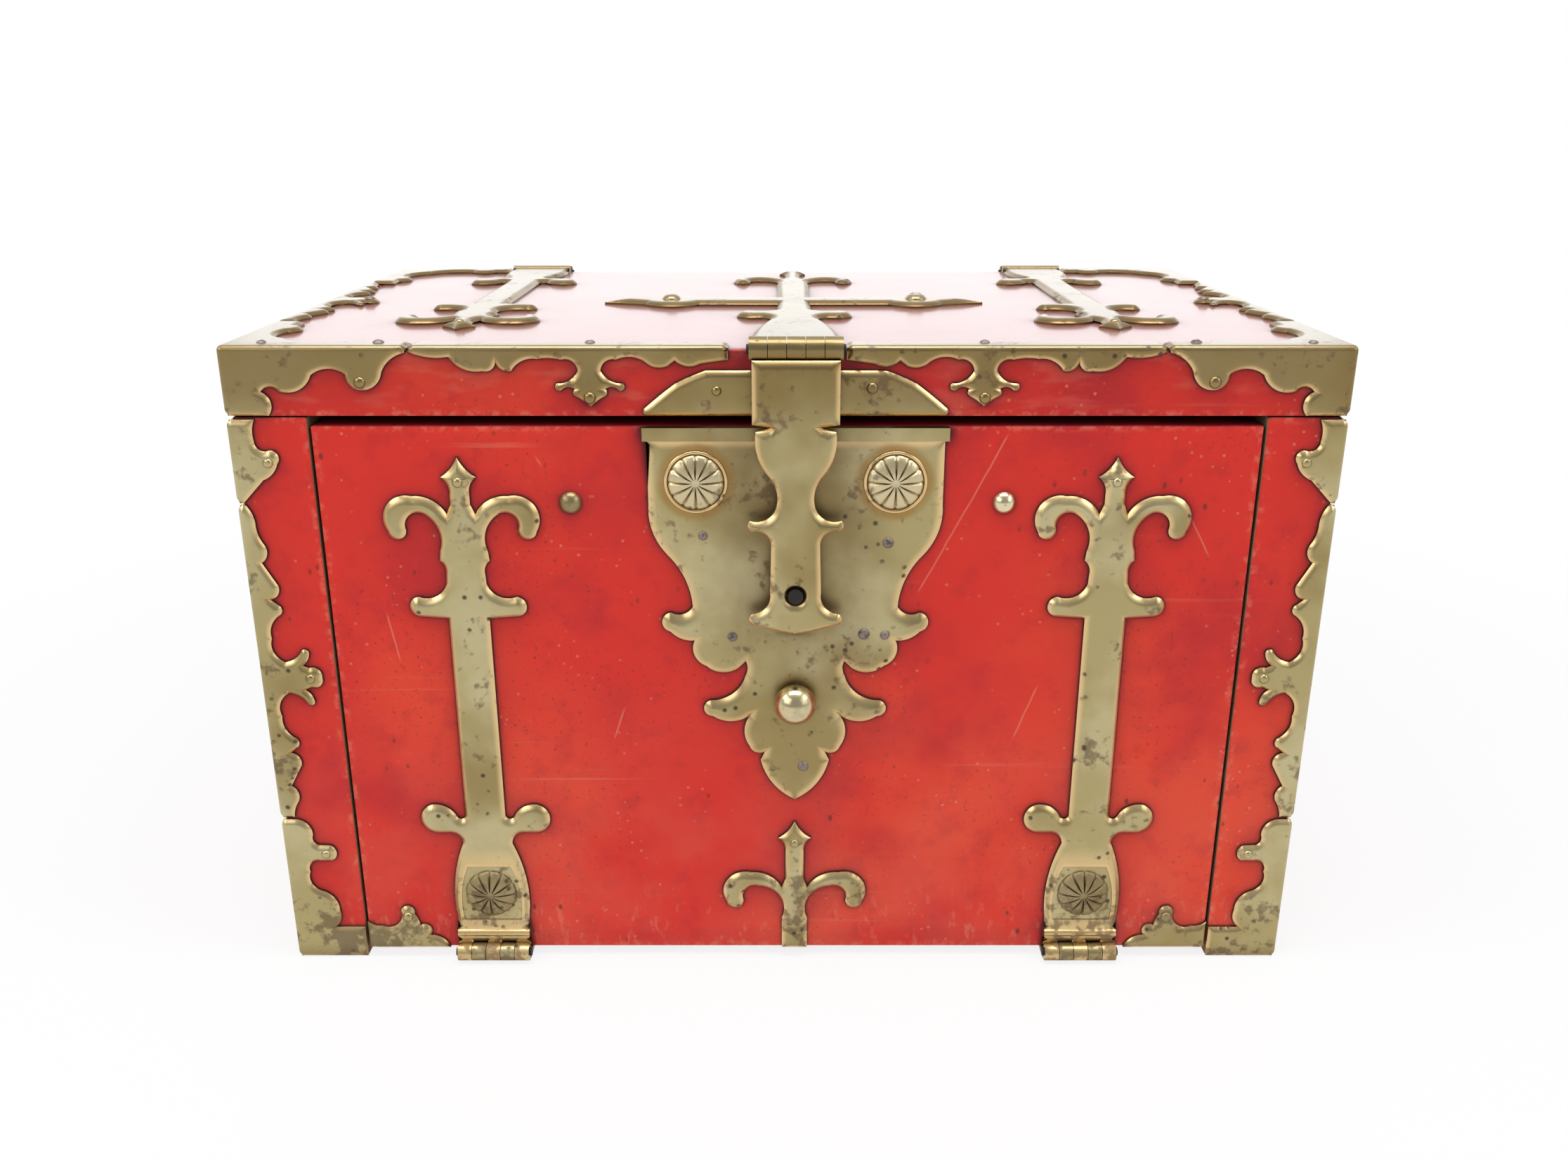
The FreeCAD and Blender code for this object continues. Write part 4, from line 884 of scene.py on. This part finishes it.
nailSpots = {}
for across, along in nails["escutcheon"]:
    nailOn("escutcheon", front, across, along, "iron")
for across, along in nails["lid_plate"]:
    nailOn("lid_plate", front, across, along)
nailOn("bottom_fleur", front, *nails["fleur"])
for across, along in nails["haspArms"]:
    nailOn("hasp_strap", up, across, along, size=nails["bossSize"])
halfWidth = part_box("right_side_board")[1].x / mm
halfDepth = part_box("back_board")[1].y / mm
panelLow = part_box("front_panel")[0].z / mm
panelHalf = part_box("front_panel")[1].x / mm
for sideName, side, s in (("left", left, -1), ("right", right, 1)):
    for endName, end, e in (("front", front, -1), ("back", back, 1)):
        for mount, (inset, high) in nails["edges"].items():
            nailOn(f"{mount}_{endName}_{sideName}", end, s * (halfWidth - inset), high)
            nailOn(f"{mount}_{endName}_{sideName}", side, e * (halfDepth - inset), high)
        corner = f"lid_corner_{endName}_{sideName}"
        inset, high = nails["lidCorner"]
        nailOn(corner, side, e * (halfDepth - inset), high)
        if end is front:
            nailOn(corner, front, s * (halfWidth - inset), high)
            for inset in nails["lidTop"]:
                nailOn(corner, up, s * (halfWidth - inset), -halfDepth + nails["topIn"], "iron")
    across, high = nails["lidFront"]
    nailOn("lid_front_mount_" + sideName, front, s * across, high)
    nailOn("lid_front_mount_" + sideName, up, s * across, -halfDepth + nails["topIn"], "iron")
    inset, high = nails["lidSide"]
    nailOn("lid_side_mount_" + sideName, side, 0.0, high)
    nailOn("lid_side_mount_" + sideName, up, s * (halfWidth - inset), 0.0, "iron")
    along, high = nails["panelCorner"]
    nailOn("panel_corner_" + sideName, front, s * (panelHalf - along), panelLow + high)
    nailOn("front_strap_" + sideName, front, s * nails["spear"][0], nails["spear"][1])
    nailOn("lid_strap_" + sideName, up, s * nails["lidSpear"][0], nails["lidSpear"][1])
    for across, high in nails["handlePlate"]:
        nailOn("handle_plate_" + sideName, side, across, high, "iron")
    across, heights = nails["backLeaf"]
    for high in heights:
        nailOn("lid_hinge_back_leaf_" + sideName, back, s * across, high, "iron")


def driveNails(body, finish, spots, nail):  # a body's nails of one metal as one piece
    bpy.ops.object.select_all(action="DESELECT")
    for number, (place, normal, size) in enumerate(spots):
        head = bpy.data.objects.new(f"{body}_{finish}Nails", nail.data.copy())
        bpy.context.scene.collection.objects.link(head)
        size *= nails["sizes"][number % len(nails["sizes"])]
        turn = normal.to_track_quat("Z", "Y") @ Quaternion((0, 0, 1), number * nails["twist"])
        head.matrix_world = Matrix.LocRotScale(place, turn, Vector((size, size, size)))
        head.select_set(True)
        bpy.context.view_layer.objects.active = head
    bpy.ops.object.join()
    bpy.ops.object.transform_apply(location=True, rotation=True, scale=True)
    piece = bpy.context.object
    piece.data.materials.append(nailHead if finish == "iron" else nailBrass)
    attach(piece, body)


firstNail = makeNail()
for (body, finish), spots in nailSpots.items():
    driveNails(body, finish, spots, firstNail)
bpy.data.objects.remove(firstNail)
print("nails driven", sum(len(spots) for spots in nailSpots.values()))

# Boards: eased edges, paint outside, bare wood inside
boards = {
    "ease": 0.7 * mm, "border": 6 * mm, "borderShare": 0.3, "flatArea": 900 * mm * mm, "facing": 0.9,
    "level": math.radians(1), "sharp": math.radians(30), "polished": ("lid_top_board",),
    "grainAlongY": ("left_side_board", "right_side_board", "lid_left_rim", "lid_right_rim"),
    "bareSides": {
        "left_side_board": (right,), "right_side_board": (left,), "back_board": (front, up),
        "bottom_board": (up, down, front), "left_front_stile": (back, right), "right_front_stile": (back, left),
        "front_panel": (back,), "lid_top_board": (down,), "lid_front_rim": (back,), "lid_left_rim": (right,),
        "lid_right_rim": (left,),
    },
}


def planeOf(face):
    return tuple(round(part, 3) for part in face.normal), round(face.normal.dot(face.verts[0].co) / mm, 2)


def looks(face, sides):
    return any(face.normal.dot(side) > boards["facing"] for side in sides)


def makeBoard(node, bareSides):
    piece = cleanCopy(node, node + "Painted")
    piece.data.materials.clear()
    piece.data.materials.append(redPaint)
    piece.data.materials.append(sideWood if node in boards["grainAlongY"] else bareWood)
    if node in boards["polished"]:
        piece.data.materials.append(polishedPaint)
    bpy.ops.object.mode_set(mode="EDIT")
    bpy.ops.mesh.select_all(action="SELECT")
    bpy.ops.mesh.dissolve_limited(angle_limit=boards["level"])
    bpy.ops.mesh.select_all(action="DESELECT")
    bpy.ops.mesh.select_mode(type="EDGE")
    bpy.ops.mesh.edges_select_sharp(sharpness=boards["sharp"])
    bpy.ops.mesh.bevel(offset=boards["ease"], segments=2, affect="EDGES")
    bpy.ops.mesh.select_mode(type="FACE")
    low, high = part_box(node)
    border = min(boards["border"], boards["borderShare"] * min(high - low))
    areas = {}
    for face in bmesh.from_edit_mesh(piece.data).faces:
        areas[planeOf(face)] = areas.get(planeOf(face), 0.0) + face.calc_area()
    selectFaces(piece, lambda face: areas[planeOf(face)] > boards["flatArea"] and not looks(face, bareSides))
    bpy.ops.mesh.inset(thickness=border)
    markRim(piece)
    bpy.ops.object.mode_set(mode="OBJECT")
    for face in piece.data.polygons:
        if looks(face, bareSides):
            face.material_index = 1
        elif node in boards["polished"] and looks(face, (up,)):
            face.material_index = 2
    settle(piece, node, redPaint)


for node, bareSides in boards["bareSides"].items():
    makeBoard(node, bareSides)
print("boards made")

# Pieces whose CAD shape is already right
keptPieces = {
    "panel_studs": studBrass, "pull_knob": knobBrass, "handle_bail_left": agedBrass, "handle_bail_right": agedBrass,
    "front_hinge_base_leaf_left": agedBrass, "front_hinge_base_leaf_right": agedBrass, "lock_case": darkIron,
    "lock_cover": darkIron, "lock_bolt": darkIron, "hasp_staple": darkIron, "lid_hinge_pins": darkIron,
    "front_hinge_pins": darkIron, "hasp_pin": darkIron,
}
for node, finish in keptPieces.items():
    frame["nodes"][node].data.materials.clear()
    frame["nodes"][node].data.materials.append(finish)
print("kept pieces finished", len(keptPieces))

# Floor, light and camera
stageLook = {
    "floor": (0.86, 0.86, 0.86, 1), "roughness": 0.9, "reach": 6.0, "below": 0.02 * mm,
    "white": (0.84, 0.16), "whiteFrom": (0.28, 0.75),
}


def makeFloor():
    look = stageLook
    bpy.ops.object.select_all(action="DESELECT")
    bpy.ops.mesh.primitive_plane_add(size=2 * look["reach"], location=(0, 0, -look["below"]))
    floor = bpy.context.object
    floor.name = "floor"
    finish = Finish("paleFloor")
    finish.set(Base_Color=look["floor"], Roughness=look["roughness"])
    seen = finish.add("ShaderNodeLightPath", {}, {}, "Is Camera Ray")
    mirrored = finish.add("ShaderNodeLightPath", {}, {}, "Is Glossy Ray")
    white = finish.add("ShaderNodeEmission", {}, {"Color": (1, 1, 1, 1), "Strength": 1.0})
    plain = Socket(finish, finish.shader.outputs[0])
    away = finish.add("ShaderNodeVectorMath", {"operation": "LENGTH"}, {0: finish.place}, "Value")
    share = (seen + mirrored).atMost(1.0) * spread(away.between(*look["whiteFrom"]), look["white"])
    mixed = finish.add("ShaderNodeMixShader", {}, {0: share, 1: plain, 2: white})
    finish.tree.links.new(mixed.output, finish.tree.nodes["Material Output"].inputs["Surface"])
    floor.data.materials.append(finish.material)


# Reflections see white behind and the plain sky in front
skyLook = {"plain": 0.42, "white": 1.0, "frontward": (-0.7, 0.15)}


def makeWorld():
    world = bpy.data.worlds.new("studio")
    bpy.context.scene.world = world
    world.use_nodes = True
    tree = world.node_tree
    sky = tree.nodes["Background"]
    sky.inputs["Color"].default_value = (1, 1, 1, 1)

    def add(kind, settings, links):
        node = tree.nodes.new(kind)
        for name, value in settings.items():
            setattr(node, name, value)
        for socket, source in links.items():
            if isinstance(source, float):
                node.inputs[socket].default_value = source
            else:
                tree.links.new(source, node.inputs[socket])
        return node.outputs

    path = add("ShaderNodeLightPath", {}, {})
    direction = add("ShaderNodeTexCoord", {}, {})["Generated"]
    backward = add("ShaderNodeSeparateXYZ", {}, {"Vector": direction})["Y"]
    low, high = skyLook["frontward"]
    behind = add("ShaderNodeMapRange", {}, {"Value": backward, "From Min": low, "From Max": high})[0]
    mirrored = add("ShaderNodeMath", {"operation": "MAXIMUM"},
                   {0: path["Is Glossy Ray"], 1: path["Is Transmission Ray"]})[0]
    mirrored = add("ShaderNodeMath", {"operation": "MULTIPLY"}, {0: mirrored, 1: behind})[0]
    shown = add("ShaderNodeMath", {"operation": "MAXIMUM"}, {0: path["Is Camera Ray"], 1: mirrored})[0]
    strength = add("ShaderNodeMapRange", {},
                   {"Value": shown, "To Min": skyLook["plain"], "To Max": skyLook["white"]})[0]
    tree.links.new(strength, sky.inputs["Strength"])


lamps = {
    "overhead": {"place": (0.0, -0.3, 1.45), "aim": (0.0, -0.1, 0.2), "size": (1.3, 0.5), "power": 12.0},
    "backdrop": {"place": (0.0, 1.6, 0.55), "aim": (0.0, 0.0, 0.25), "size": (3.2, 0.9), "power": 4.0},
    "frontLeft": {"place": (-1.3, -1.3, 1.1), "aim": (0.0, -0.1, 0.15), "size": (1.2, 1.0), "power": 6.5},
    "sideLeft": {"place": (-1.05, -0.45, 0.95), "aim": (0.0, -0.1, 0.2), "size": (0.5, 0.5), "power": 2.0},
    "sideRight": {"place": (1.05, -0.45, 0.95), "aim": (0.0, -0.1, 0.2), "size": (0.5, 0.5), "power": 2.0},
    "frontRight": {"place": (1.4, -1.1, 0.9), "aim": (0.0, -0.1, 0.15), "size": (1.0, 1.0), "power": 3.2},
}


def makeLamp(name, settings):
    lamp = bpy.data.lights.new(name, "AREA")
    lamp.shape = "RECTANGLE"
    lamp.size, lamp.size_y = settings["size"]
    lamp.energy = settings["power"]
    holder = bpy.data.objects.new(name, lamp)
    bpy.context.scene.collection.objects.link(holder)
    holder.location = settings["place"]
    holder.visible_camera = False
    aim = Vector(settings["aim"]) - Vector(settings["place"])
    holder.rotation_euler = aim.to_track_quat("-Z", "Y").to_euler()


cameraPlace = {"place": (-1.2 * mm, -0.595, 0.327), "tilt": 70.8, "lens": 30.9, "sensor": 36.0, "nearest": 0.01}


def makeCamera():
    camera = bpy.data.cameras.new("photoView")
    camera.lens = cameraPlace["lens"]
    camera.sensor_width = cameraPlace["sensor"]
    camera.clip_start = cameraPlace["nearest"]
    holder = bpy.data.objects.new("photoView", camera)
    bpy.context.scene.collection.objects.link(holder)
    holder.location = cameraPlace["place"]
    holder.rotation_euler = (math.radians(cameraPlace["tilt"]), 0, 0)
    bpy.context.scene.camera = holder


makeFloor()
makeWorld()
for name, settings in lamps.items():
    makeLamp(name, settings)
makeCamera()
bpy.context.scene.view_settings.view_transform = "Standard"
print("stage made")
